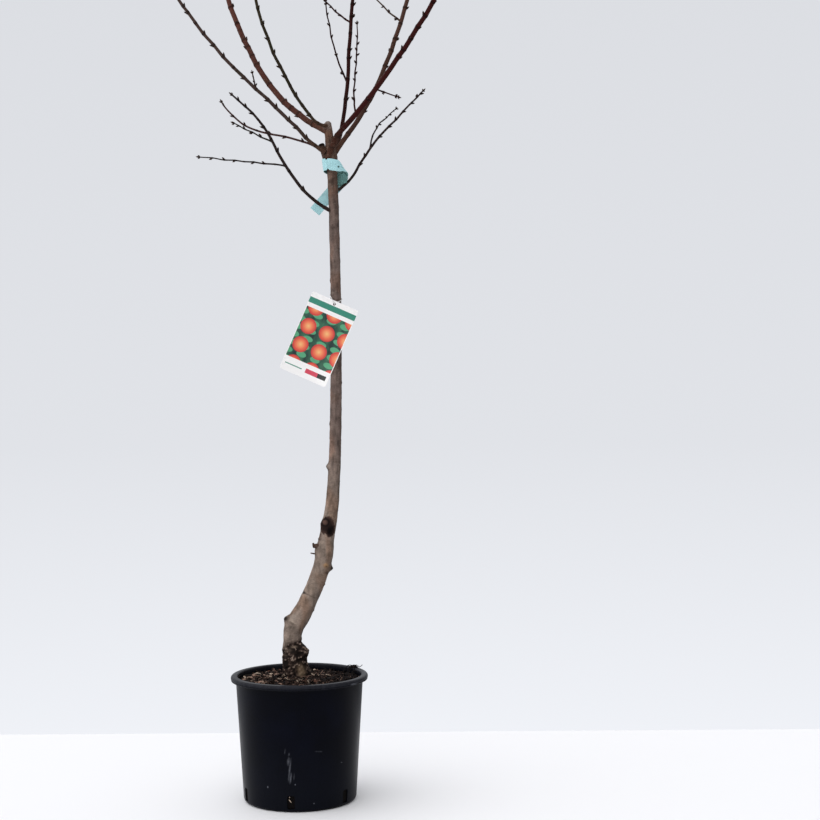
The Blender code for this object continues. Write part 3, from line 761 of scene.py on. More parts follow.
@functools.lru_cache(maxsize=None)
def shoots_of(key):
    """A limb's shoots: the limb first, then its side twigs, then the spurs on them all."""
    limb = limb_shoot(key)
    plan = enumerate(twig_plan()[key], 1)
    twigs = [twig_shoot((key, number), "twig", limb.line, twig) for number, twig in plan]
    spurs = [twig_shoot((key, 100), "spur", limb.line, twig) for twig in KNOWN_SPURS.get(key, ())]
    low, high = CAD_BOX
    rule = random.Random("spurs of " + key)
    for parent in [limb] + twigs:
        for node in parent.nodes:
            chance = rule.random()
            length = rule.uniform(*SPUR_LENGTHS)
            share = node.place / parent.length
            foot = point_at(parent.line, share)
            wanted = SPUR_CHANCES[parent.kind] if foot.z > YOUNG_WOOD_HEIGHT else 0.0
            if chance > wanted or share > 0.85:
                continue
            _, forward, side, other = parent.frame_at(node.place)
            outward = ray(node.swing, side, other)
            swing = math.degrees(math.atan2(outward.y, outward.x))
            spur = side_shoot(parent.line, share, swing, SPUR_SPREAD, length, SPUR_BASE, SPUR_TIP)
            made = twig_shoot((key, 101 + len(spurs)), "spur", parent.line, spur)
            tip = made.line[-1]
            if all(low[axis] + 0.004 < tip[axis] < high[axis] - 0.004 for axis in range(3)):
                spurs.append(made)
    return [limb] + twigs + spurs


# Materials


class Paint:
    """Short calls for one material's nodes."""

    def __init__(self, name, roughness, colour=(0.5, 0.5, 0.5)):
        self.made = bpy.data.materials.new(name)
        self.made.use_nodes = True
        self.tree = self.made.node_tree
        self.shader = self.tree.nodes["Principled BSDF"]
        self.shader.inputs["Roughness"].default_value = roughness
        self.shader.inputs["Base Color"].default_value = (*colour, 1.0)

    def node(self, kind, **settings):
        """A new node with some of its settings and inputs filled in."""
        made = self.tree.nodes.new("ShaderNode" + kind)
        for name, value in settings.items():
            if hasattr(made, name):
                setattr(made, name, value)
            else:
                made.inputs[name.replace("_", " ").title()].default_value = value
        return made

    def link(self, output, target):
        """Join an output socket to an input socket."""
        self.tree.links.new(output, target)

    def place(self, scale=(1, 1, 1), shift=(0, 0, 0), turn=(0, 0, 0), kind="POINT"):
        """Object coordinates, moved, turned and scaled."""
        coords = self.node("TexCoord")
        mapping = self.node("Mapping", vector_type=kind)
        mapping.inputs["Location"].default_value = shift
        mapping.inputs["Rotation"].default_value = turn
        mapping.inputs["Scale"].default_value = scale
        self.link(coords.outputs["Object"], mapping.inputs["Vector"])
        return mapping.outputs["Vector"]

    def axis(self, where, name):
        """One coordinate of a place."""
        made = self.node("SeparateXYZ")
        self.link(where, made.inputs["Vector"])
        return made.outputs[name]

    def noise(self, where, scale, detail=3.0, roughness=0.5):
        """A noise pattern's height."""
        made = self.node("TexNoise", scale=scale, detail=detail, roughness=roughness)
        self.link(where, made.inputs["Vector"])
        return made.outputs["Fac"]

    def ramp(self, factor, *stops):
        """A value or colour by stops of (place, grey or colour)."""
        made = self.node("ValToRGB")
        elements = made.color_ramp.elements
        while len(elements) < len(stops):
            elements.new(0.5)
        for element, (where, value) in zip(elements, stops):
            colour = value if isinstance(value, tuple) else (value, value, value)
            element.position = where
            element.color = (*colour, 1.0)
        self.link(factor, made.inputs["Fac"])
        return made.outputs["Color"]

    def maths(self, operation, first, second):
        """One sum of two sockets or numbers."""
        made = self.node("Math", operation=operation)
        for socket, value in zip(made.inputs, (first, second)):
            if isinstance(value, (int, float)):
                socket.default_value = value
            else:
                self.link(value, socket)
        return made.outputs["Value"]

    def mix(self, factor, first, second, mode="MIX"):
        """Two colours mixed."""
        made = self.node("Mix", data_type="RGBA", blend_type=mode)
        for name, value in (("Factor_Float", factor), ("A_Color", first), ("B_Color", second)):
            socket = next(entry for entry in made.inputs if entry.identifier == name)
            if isinstance(value, (int, float)):
                socket.default_value = value
            elif isinstance(value, tuple):
                socket.default_value = (*value, 1.0)
            else:
                self.link(value, socket)
        return next(entry for entry in made.outputs if entry.identifier == "Result_Color")

    def bump(self, height, strength, distance):
        """Small relief from a height."""
        made = self.node("Bump", strength=strength, distance=distance)
        self.link(height, made.inputs["Height"])
        self.link(made.outputs["Normal"], self.shader.inputs["Normal"])

    def shine(self, level):
        """How much the surface mirrors its surroundings."""
        self.shader.inputs["Specular IOR Level"].default_value = level

    def colour(self, socket):
        """Set the base colour from a socket."""
        self.link(socket, self.shader.inputs["Base Color"])

    def roughness(self, socket):
        """Set the roughness from a socket."""
        self.link(socket, self.shader.inputs["Roughness"])

    def spot(self, centre, size, turn=(0, 0, 0)):
        """A soft spot in space: one at its centre, nothing outside its size."""
        where = self.place(scale=size, shift=centre, turn=turn, kind="TEXTURE")
        made = self.node("TexGradient", gradient_type="SPHERICAL")
        self.link(where, made.inputs["Vector"])
        return made.outputs["Fac"]


def grained(name, colour, roughness, grain, relief, shine):
    """A dull material of one colour; grain is its noise, relief its bump's strength and distance."""
    paint = Paint(name, roughness, colour)
    paint.bump(paint.noise(paint.place(), *grain), *relief)
    paint.shine(shine)
    return paint.made


# Pot


def arc(centre, radius, start, end, steps):
    """Points on an arc in the profile plane, angles in degrees from the outward side."""
    points = []
    for step in range(steps + 1):
        angle = math.radians(start + (end - start) * step / steps)
        points.append((centre[0] + radius * math.cos(angle), centre[1] + radius * math.sin(angle)))
    return points


def spun(profile, sides):
    """A closed bmesh from a profile of (radius, height) that starts and ends on the axis."""
    bm = bmesh.new()
    verts = [bm.verts.new((radius, 0.0, height)) for radius, height in profile]
    for first, second in zip(verts, verts[1:]):
        bm.edges.new((first, second))
    bmesh.ops.spin(
        bm, geom=list(bm.verts) + list(bm.edges), cent=(0, 0, 0), axis=(0, 0, 1),
        angle=math.tau, steps=sides, use_merge=True,
    )
    weld(bm)
    return bm


def pot_profile():
    """The pot's section: underside, wall, hollow lip, inner wall and floor."""
    recess = 0.0012
    skirt = POT_HEIGHT - POT_LIP_DROP
    skirt_radius = POT_LIP_RADIUS - 0.0006
    lip_inner = skirt_radius - POT_WALL
    lip_under = POT_HEIGHT - 2 * POT_WALL
    inner_corner = POT_CORNER - POT_WALL
    profile = [(0.0, recess), (0.030, recess), (0.031, recess / 2), (0.034, recess / 2), (0.035, recess)]
    profile += [(0.0850, recess), (0.0862, 0.0003), (0.0870, 0.0)]
    profile += arc((POT_FOOT_RADIUS - POT_CORNER, POT_CORNER), POT_CORNER, -90, 0, 12)
    for share in (0.25, 0.5, 0.75):
        height = POT_CORNER + (skirt - POT_CORNER) * share
        profile.append((POT_FOOT_RADIUS + (POT_NECK_RADIUS - POT_FOOT_RADIUS) * share, height))
    profile += [(POT_NECK_RADIUS, skirt), (POT_NECK_RADIUS, lip_under - 0.001)]
    profile += [(POT_NECK_RADIUS + 0.001, lip_under), (lip_inner - 0.001, lip_under)]
    profile += [(lip_inner, lip_under - 0.001)]
    profile += arc((lip_inner + POT_WALL / 2, skirt + POT_WALL / 2), POT_WALL / 2, 180, 360, 6)
    profile += [(skirt_radius, skirt + 0.0018), (skirt_radius - 0.0007, skirt + 0.0026)]
    profile += arc((POT_LIP_RADIUS - 0.0044, POT_HEIGHT - 0.0044), 0.0044, -18, 90, 12)
    profile += arc((POT_NECK_RADIUS + 0.0002, POT_HEIGHT - 0.0032), 0.0032, 90, 180, 8)
    profile += [(POT_NECK_RADIUS - POT_WALL, skirt)]
    profile += arc(
        (POT_FOOT_RADIUS - POT_WALL - inner_corner, POT_FLOOR + inner_corner), inner_corner, 0, -90, 4,
    )
    profile += [(0.0, POT_FLOOR)]
    return profile


def black_plastic(settings):
    """Black moulded plastic: almost matt, faintly mottled, lighter towards the foot and scuffed at its front;
    its lip is painted lighter, partly as wear and partly as painted highlight, and a painted glint sits under
    the lip at the right.
    """
    paint = Paint("black_plastic", settings.roughness, settings.plastic)
    where = paint.place()
    cloud = paint.noise(where, 14.0, 4.0)
    streaks = paint.noise(paint.place(scale=(1, 1, 0.12)), 160.0, 3.0)
    base = tuple(settings.plastic)
    worn_and_lit = paint.mix(paint.ramp(cloud, (0.40, 0.0), (0.75, 1.0)), base, shaded(base, 2.4))
    height = paint.axis(where, "Z")
    lip = paint.ramp(height, (0.2095, 0.0), (0.2160, 1.0))
    # The plastic is lighter and bluer towards the foot.
    lighter_low = paint.ramp(height, (0.03, 0.65), (0.13, 0.0))
    worn_and_lit = paint.mix(lighter_low, worn_and_lit, (0.0036, 0.0044, 0.0076))
    # The lip is painted lighter along its streaks: partly rubbed wear, partly painted highlight where the lip
    # catches the light from above.
    rubbed_and_lit = paint.maths("MULTIPLY", lip, paint.ramp(streaks, (0.25, 0.4), (0.7, 1.0)))
    worn_and_lit = paint.mix(rubbed_and_lit, worn_and_lit, (0.021, 0.022, 0.028))
    marks_and_glint = None
    smears_and_glint = (
        ((-0.0122, -0.1080, 0.0890), (0.0046, 0.03, 0.0120), 0.12, 0.52),
        ((-0.0103, -0.1060, 0.0735), (0.0030, 0.03, 0.0330), 0.12, 0.54),
        ((-0.0086, -0.1050, 0.0600), (0.0030, 0.03, 0.0150), 0.12, 0.66),
        ((-0.0180, -0.1080, 0.1060), (0.0030, 0.03, 0.0110), 0.20, 0.34),
        ((-0.0110, -0.1080, 0.1010), (0.0034, 0.03, 0.0070), 0.25, 0.36),
        ((-0.0030, -0.1050, 0.0610), (0.0018, 0.03, 0.0160), 0.08, 0.34),
        # Painted highlight: a glint under the lip at the right.
        ((0.0985, -0.0700, 0.2135), (0.0100, 0.02, 0.0020), 0.06, 0.90),
        ((0.0400, -0.1040, 0.1040), (0.0150, 0.03, 0.0028), 0.12, 0.36),
        ((-0.0010, -0.1040, 0.0490), (0.0016, 0.03, 0.0020), 0.0, 1.0),
        ((-0.0490, -0.0860, 0.0420), (0.0018, 0.03, 0.0030), 0.0, 0.8),
        ((0.0303, -0.1000, 0.0150), (0.0020, 0.03, 0.0020), 0.0, 0.7),
        ((0.0765, -0.0700, 0.0790), (0.0030, 0.03, 0.0016), 0.4, 0.5),
    )
    grain = paint.noise(paint.place(scale=(1, 1, 0.6)), 260.0, 5.0, 0.75)
    for centre, size, turn, strength in smears_and_glint:
        spot = paint.spot(centre, size, (0, turn, 0))
        mark = paint.maths("MULTIPLY", paint.maths("MULTIPLY", spot, grain), 3.0 * strength)
        marks_and_glint = mark if marks_and_glint is None else paint.maths("MAXIMUM", marks_and_glint, mark)
    paint.colour(paint.mix(paint.ramp(marks_and_glint, (0.22, 0.0), (1.0, 1.0)), worn_and_lit, (0.100, 0.105, 0.125)))
    matt = settings.roughness
    paint.roughness(paint.ramp(cloud, (0.3, matt - 0.06), (0.8, matt + 0.10)))
    relief = paint.maths("ADD", paint.maths("MULTIPLY", streaks, 0.5), paint.noise(where, 900.0, 2.0))
    paint.bump(relief, 0.25, 0.0002)
    paint.shine(settings.shine)
    return paint.made


def build_pot(settings):
    """The nursery pot: spun wall with its hollow lip, and six drain slots cut round the foot."""
    pot = add_object("nursery_pot", spun(pot_profile(), settings.sides), [black_plastic(settings)])
    cutters = []
    for number in range(SLOT_COUNT):
        bm = bmesh.new()
        bmesh.ops.create_cube(bm, size=1.0)
        bmesh.ops.scale(bm, verts=bm.verts, vec=(4 * POT_CORNER, SLOT_WIDTH, SLOT_TOP - SLOT_BOTTOM))
        upright = [edge for edge in bm.edges if abs((edge.verts[0].co - edge.verts[1].co).x) > POT_CORNER]
        bmesh.ops.bevel(
            bm, geom=upright, offset=0.003, offset_type="OFFSET", affect="EDGES", segments=5,
            profile=0.5, material=-1,
        )
        middle = (SLOT_TOP + SLOT_BOTTOM) / 2
        bmesh.ops.translate(bm, verts=bm.verts, vec=(POT_FOOT_RADIUS, 0, middle))
        heading = math.radians(SLOT_HEADING + 360.0 * number / SLOT_COUNT)
        bmesh.ops.rotate(bm, verts=bm.verts, cent=(0, 0, 0), matrix=Matrix.Rotation(heading, 3, "Z"))
        cutters.append(add_object("slot_cutter", bm, []))
    boolean(pot, "DIFFERENCE", cutters)
    pot.data.set_sharp_from_angle(angle=math.radians(40))
    mount_piece(pot, "pot_plastic", "pot")


# Potting mix


def mix_height(x, y):
    """The height of the mix's surface: heaped round the trunk, uneven all over."""
    away = math.hypot(x, y)
    level = MIX_EDGE_HEIGHT + (MIX_HEAP_HEIGHT - MIX_EDGE_HEIGHT) * (1 - share_between(0.030, 0.078, away))
    spot = Vector((x, y, 0.0))
    away = math.hypot(x + 0.008, y)
    level += 0.0042 * bell(away - 0.020, 0.011)
    rough = 0.0021 * noise.fractal(spot * 70.0, 1.0, 2.0, 4)
    rough += 0.0009 * noise.noise(spot * 420.0)
    return level + rough


def dark_mix():
    """Damp potting mix: nearly black, with brown fibre, and painted black below its surface as shade inside
    the drain slots.
    """
    paint = Paint("dark_mix", 0.92)
    where = paint.place()
    fine = paint.noise(where, 650.0, 6.0, 0.7)
    coarse = paint.noise(where, 120.0, 4.0)
    black = (0.003, 0.002, 0.002)
    brown = paint.ramp(fine, (0.35, black), (0.58, (0.010, 0.006, 0.005)), (0.75, (0.035, 0.021, 0.015)))
    tone = paint.mix(paint.ramp(coarse, (0.4, 0.0), (0.7, 0.7)), brown, (0.005, 0.003, 0.003))
    # Painted shade: below its surface the mix is made black, so that it shows dark through the drain slots.
    below = paint.ramp(paint.axis(where, "Z"), (0.18, 1.0), (0.20, 0.0))
    paint.colour(paint.mix(below, tone, black))
    paint.bump(fine, 0.9, 0.0012)
    paint.shine(0.10)
    return paint.made


def mix_materials():
    """The colours of chips, crumbs and root fibres, from pale to nearly black."""
    colours = (
        ("pale_chip", (0.42, 0.33, 0.26)),
        ("pink_chip", (0.25, 0.160, 0.125)),
        ("brown_chip", (0.095, 0.057, 0.043)),
        ("dark_chip", (0.026, 0.015, 0.012)),
        ("black_crumb", (0.006, 0.004, 0.004)),
        ("grey_chip", (0.17, 0.135, 0.110)),
        ("red_chip", (0.075, 0.036, 0.026)),
    )
    look = (0.85, (900.0, 5.0, 0.65), (0.6, 0.0004), 0.12)
    return [grained(name, colour, *look) for name, colour in colours]


def chip_shape(rule, length, width):
    """One flake of bark: a curled, uneven plate. Returns its points and faces."""
    across, down = 5, 3
    curl = rule.uniform(0.05, 0.30) * rule.choice((-1, 1))
    thick = rule.uniform(0.0005, 0.0013)
    points = []
    for side in (1, -1):
        for row in range(down):
            for column in range(across):
                u = column / (across - 1) * 2 - 1
                v = row / (down - 1) * 2 - 1
                taper = 1 - 0.45 * u * u + rule.uniform(-0.12, 0.12)
                edge = 1.0 if abs(v) < 0.5 and abs(u) < 0.9 else 0.45
                points.append(Vector((
                    u * length / 2 * (1 + rule.uniform(-0.06, 0.06)), v * width / 2 * taper,
                    curl * length * (u * u - 0.3) + side * thick / 2 * edge + rule.uniform(-1, 1) * 0.0002,
                )))
    faces = []
    layer = across * down
    for row in range(down - 1):
        for column in range(across - 1):
            a = row * across + column
            quad = (a, a + 1, a + 1 + across, a + across)
            faces.append(quad)
            faces.append(tuple(layer + corner for corner in reversed(quad)))
    rim = list(range(across))
    rim += [row * across + across - 1 for row in range(1, down)]
    rim += [(down - 1) * across + column for column in range(across - 2, -1, -1)]
    rim += [row * across for row in range(down - 2, 0, -1)]
    for first, second in zip(rim, rim[1:] + rim[:1]):
        faces.append((second, first, layer + first, layer + second))
    return points, faces


def crumb_shape(rule, size):
    """One crumb: an eight-sided lump with uneven corners."""
    points = []
    for direction in ((1, 0, 0), (0, 1, 0), (-1, 0, 0), (0, -1, 0), (0, 0, 1), (0, 0, -1)):
        points.append(Vector(direction) * size * rule.uniform(0.35, 0.75))
    faces = []
    for corner in range(4):
        after = (corner + 1) % 4
        faces.append((corner, after, 4))
        faces.append((after, corner, 5))
    return points, faces


def scatter(rule, reach=LITTER_REACH):
    """A place on the mix, clear of the trunk and of the pot's wall."""
    while True:
        away = reach * math.sqrt(rule.random())
        angle = rule.uniform(0, math.tau)
        x = away * math.cos(angle)
        y = away * math.sin(angle)
        if math.hypot(x + 0.004, y) > 0.0245:
            return x, y


def keep_inside(spot, limit):
    """Pull a point in to a limit from the pot's axis."""
    away = math.hypot(spot.x, spot.y)
    if away > limit:
        squeeze = limit / away
        spot.x *= squeeze
        spot.y *= squeeze


def settled(rule, shape, x, y, rise, tilt, heading=None):
    """Lay a shape on the mix with a random tilt, and a random turn if none is given."""
    points, faces = shape
    turn = Matrix.Rotation(rule.uniform(0, math.tau) if heading is None else heading, 3, "Z")
    turn = turn @ Matrix.Rotation(math.radians(rule.gauss(0, tilt)), 3, "X")
    turn = turn @ Matrix.Rotation(math.radians(rule.gauss(0, tilt * 0.7)), 3, "Y")
    foot = Vector((x, y, mix_height(x, y) + rise))
    placed = []
    for point in points:
        spot = foot + turn @ point
        keep_inside(spot, CHIP_EDGE)
        placed.append(spot)
    return placed, faces


def build_mix():
    """The potting mix itself, uneven on top."""
    corner = POT_CORNER - POT_WALL
    foot = POT_FOOT_RADIUS - POT_WALL - GAP
    profile = [(0.0, POT_FLOOR + GAP)]
    profile += arc((foot - corner, POT_FLOOR + corner + GAP), corner, -90, 0, 3)
    profile += [(MIX_EDGE_RADIUS, MIX_EDGE_HEIGHT - 0.004)]
    for ring in range(MIX_RINGS + 1):
        profile.append((MIX_EDGE_RADIUS * (1 - ring / MIX_RINGS), MIX_EDGE_HEIGHT))
    bm = spun(profile, MIX_SIDES)
    for vert in bm.verts:
        if vert.co.z > MIX_EDGE_HEIGHT - 0.001:
            vert.co.z = mix_height(vert.co.x, vert.co.y)
    mix = add_object("potting_mix_surface", bm, [dark_mix()], sharp=180.0)
    mount_piece(mix, "potting_mix", "potting_mix")


# Pale curls that catch the light: place across and in depth, length, width, turn and colour number
KNOWN_CURLS = (
    (-0.080, 0.050, 0.018, 0.0045, 8, 0),
    (-0.074, 0.038, 0.015, 0.0040, -14, 1),
    (-0.056, 0.050, 0.021, 0.0045, 18, 0),
    (-0.060, 0.030, 0.017, 0.0040, -20, 1),
    (-0.042, 0.030, 0.015, 0.0040, 30, 1),
    (-0.013, -0.034, 0.019, 0.0035, 6, 0),
    (0.0260, 0.010, 0.018, 0.0040, -24, 0),
    (0.0470, 0.026, 0.019, 0.0045, 20, 0),
    (0.0410, 0.012, 0.014, 0.0035, -10, 1),
    (-0.092, 0.022, 0.014, 0.0040, 12, 0),
    (0.0330, 0.040, 0.016, 0.0040, 35, 1),
    (-0.030, -0.052, 0.015, 0.0040, -30, 1),
)


# Pale scraps caught in the front slot: place, length, width and slant
SLOT_SCRAPS = (
    ((-0.0100, -0.0985, 0.0200), 0.0062, 0.0015, 52),
    ((-0.0108, -0.0985, 0.0268), 0.0026, 0.0012, 80),
)


def build_litter(settings):
    """Bark chips, crumbs and root fibres on top of the mix."""
    rule = random.Random("chips")
    chips = Bundle()
    for x, y, length, width, turn, tint in KNOWN_CURLS:
        shape = chip_shape(rule, length, width)
        chips.add(*settled(rule, shape, x, y, 0.0024, 16, math.radians(turn)), tint)
    for place, length, width, slant in SLOT_SCRAPS:
        points, faces = chip_shape(rule, length, width)
        turn = Matrix.Rotation(math.radians(slant), 3, "Y") @ Matrix.Rotation(math.radians(90), 3, "X")
        chips.add([turn @ point + Vector(place) for point in points], faces, 0)
    for _ in range(settings.chips):
        x, y = scatter(rule)
        length = rule.uniform(0.004, 0.015)
        width = length * rule.uniform(0.25, 0.55)
        clump = share_between(-0.1, 0.35, noise.noise(Vector((x, y, 0.5)) * 38.0))
        pale = 0.05 + 0.28 * clump * (1 - 0.85 * share_between(0.035, 0.075, x))
        pick = rule.random() + 0.20 * share_between(0.0, 0.06, x)
        pick += 0.35 * share_between(0.050, 0.080, x)
        shares = ((0, pale * 0.4), (1, pale * 0.75), (5, pale), (2, pale * 1.5), (6, pale * 1.9), (3, 0.66))
        tint = next((number for number, top in shares if pick < top), 4)
        shape = chip_shape(rule, length, width)
        chips.add(*settled(rule, shape, x, y, rule.uniform(0.0002, 0.0022), 20), tint)
    materials = mix_materials()
    piece = chips.build("bark_chips", materials, smooth=False)
    mount_piece(piece, "potting_mix")
    crumbs = Bundle()
    for _ in range(settings.crumbs):
        x, y = scatter(rule, 0.1085)
        size = rule.uniform(0.0010, 0.0034)
        tint = rule.choice((1, 2, 3, 3, 3, 4, 4, 4, 4, 4, 4))
        shape = crumb_shape(rule, size)
        crumbs.add(*settled(rule, shape, x, y, rule.uniform(0.0, 0.0010), 60), tint)
    for _ in range(RIM_CRUMBS):
        spot = RIM_CRUMB_PLACE + Vector((rule.gauss(0, 0.0035), rule.gauss(0, 0.0028), 0))
        away = math.hypot(spot.x, spot.y)
        spot *= RIM_INSIDE / away if away > RIM_REACH else 1.0
        points, faces = crumb_shape(rule, rule.uniform(0.0012, 0.0034))
        spot.z = RIM_CRUMB_HEIGHT + abs(rule.gauss(0, 0.0009))
        crumbs.add([point + spot for point in points], faces, rule.choice((3, 4, 4)))
    piece = crumbs.build("mix_crumbs", materials, smooth=False)
    mount_piece(piece, "potting_mix")
    build_fibres(settings, rule, materials)


def fibre_line(rule, foot, heading, length, climb):
    """A thin root that wanders over the mix from its foot."""
    points = [foot]
    for _ in range(FIBRE_STEPS):
        heading += rule.gauss(0, 20)
        climb += rule.gauss(-6, 12)
        points.append(points[-1] + along(heading, 90 - climb) * (length / FIBRE_STEPS))
    return points


# Dark roots that climb out of the mix and over the rim at the right: route and radius
RIM_ROOTS = (
    (((0.079, 0.060, 0.209), (0.086, 0.066, 0.2195), (0.092, 0.0665, 0.2232), (0.099, 0.061, 0.2215),
      (0.105, 0.055, 0.2222), (0.1095, 0.051, 0.2262)), 0.00110),
    (((0.083, 0.054, 0.209), (0.089, 0.062, 0.2200), (0.094, 0.0635, 0.2236), (0.098, 0.0585, 0.2228),
      (0.101, 0.054, 0.2205)), 0.00150),
    (((0.090, 0.048, 0.209), (0.096, 0.054, 0.219), (0.099, 0.057, 0.2222), (0.104, 0.056, 0.2212)), 0.00110),
    (((0.073, 0.066, 0.209), (0.080, 0.075, 0.219), (0.086, 0.075, 0.2222), (0.093, 0.069, 0.2215)), 0.00110),
    (((0.093, 0.064, 0.2225), (0.098, 0.0645, 0.2240), (0.103, 0.0605, 0.2225)), 0.00070),
    (((0.088, 0.050, 0.210), (0.092, 0.047, 0.215), (0.099, 0.044, 0.2165), (0.104, 0.038, 0.212)), 0.00080),
)


def build_fibres(settings, rule, materials):
    """Fine roots over the mix, with a few dark ones that curl over the rim at the right."""
    fibres = Bundle()
    for _ in range(settings.fibres):
        x, y = scatter(rule, 0.100)
        foot = Vector((x, y, mix_height(x, y) - 0.0005))
        heading = rule.uniform(0, 360)
        line = fibre_line(rule, foot, heading, rule.uniform(0.015, 0.045), rule.uniform(5, 30))
        for point in line[1:]:
            level = mix_height(point.x, point.y)
            point.z = min(max(point.z, level + 0.0003), level + 0.0060)
            keep_inside(point, FIBRE_EDGE)
        fibres.add(*fibre_tube(line, rule.uniform(0.00022, 0.00045)), rule.choice((1, 2, 3, 3, 4)))
    for route, radius in RIM_ROOTS:
        fibres.add(*fibre_tube(smooth_line([Vector(point) for point in route], 6), radius), 4)
    piece = fibres.build("root_fibres", materials)
    mount_piece(piece, "potting_mix")


def fibre_tube(line, radius):
    """A thin four-sided tube along a line."""
    points = []
    side = None
    for index, point in enumerate(line):
        ahead = line[min(index + 1, len(line) - 1)] - line[max(index - 1, 0)]
        forward = ahead.normalized()
        side = forward.orthogonal() if side is None else side
        side = (side - forward * side.dot(forward)).normalized()
        other = forward.cross(side)
        slim = radius * (1 - 0.5 * index / len(line))
        for corner in range(4):
            angle = math.tau * corner / 4
            points.append(point + ray(angle, side, other) * slim)
    points += [line[0], line[-1]]
    return points, tube_faces(len(line), 4)


# Trunk and boughs


def trunk_station(height):
    """The trunk's middle and radius at a height, on a smooth curve through TRUNK_LINE."""
    rows = TRUNK_LINE
    index = 0
    while index < len(rows) - 2 and height > rows[index + 1][0]:
        index += 1
    before = rows[max(index - 1, 0)]
    here = rows[index]
    there = rows[index + 1]
    after = rows[min(index + 2, len(rows) - 1)]
    span = there[0] - here[0]
    t = (height - here[0]) / span
    values = []
    for column in (1, 2, 3):
        slope_here = (there[column] - before[column]) / (there[0] - before[0]) * span
        slope_there = (after[column] - here[column]) / (after[0] - here[0]) * span
        values.append(
            (2 * t**3 - 3 * t**2 + 1) * here[column] + (t**3 - 2 * t**2 + t) * slope_here
            + (3 * t**2 - 2 * t**3) * there[column] + (t**3 - t**2) * slope_there
        )
    return Vector((values[0], values[1], height)), values[2]


def round_trunk(heading, centre, radius):
    """How far round the trunk a heading lies from a centre, as a length."""
    return math.radians((heading - centre + 180) % 360 - 180) * radius


def facing(heading, centre):
    """How squarely a heading faces a centre: one, down to nothing at the sides and behind."""
    return max(0.0, math.cos(math.radians(heading - centre)))


def trunk_swell(height, heading, radius):
    """How far the root flare and the bumps lift the bark at a height and heading."""
    lobes = math.cos(math.radians(heading * ROOT_FLARE_LOBES + 50))
    swell = radius * ROOT_FLARE_RISE * lobes * math.exp((TRUNK_FOOT - height) / ROOT_FLARE_FADE)
    for bump in TRUNK_BUMPS:
        around = round_trunk(heading, bump.heading, radius)
        away = (around**2 + (height - bump.height) ** 2) / bump.spread**2
        swell += bump.rise * math.exp(-away)
    return swell


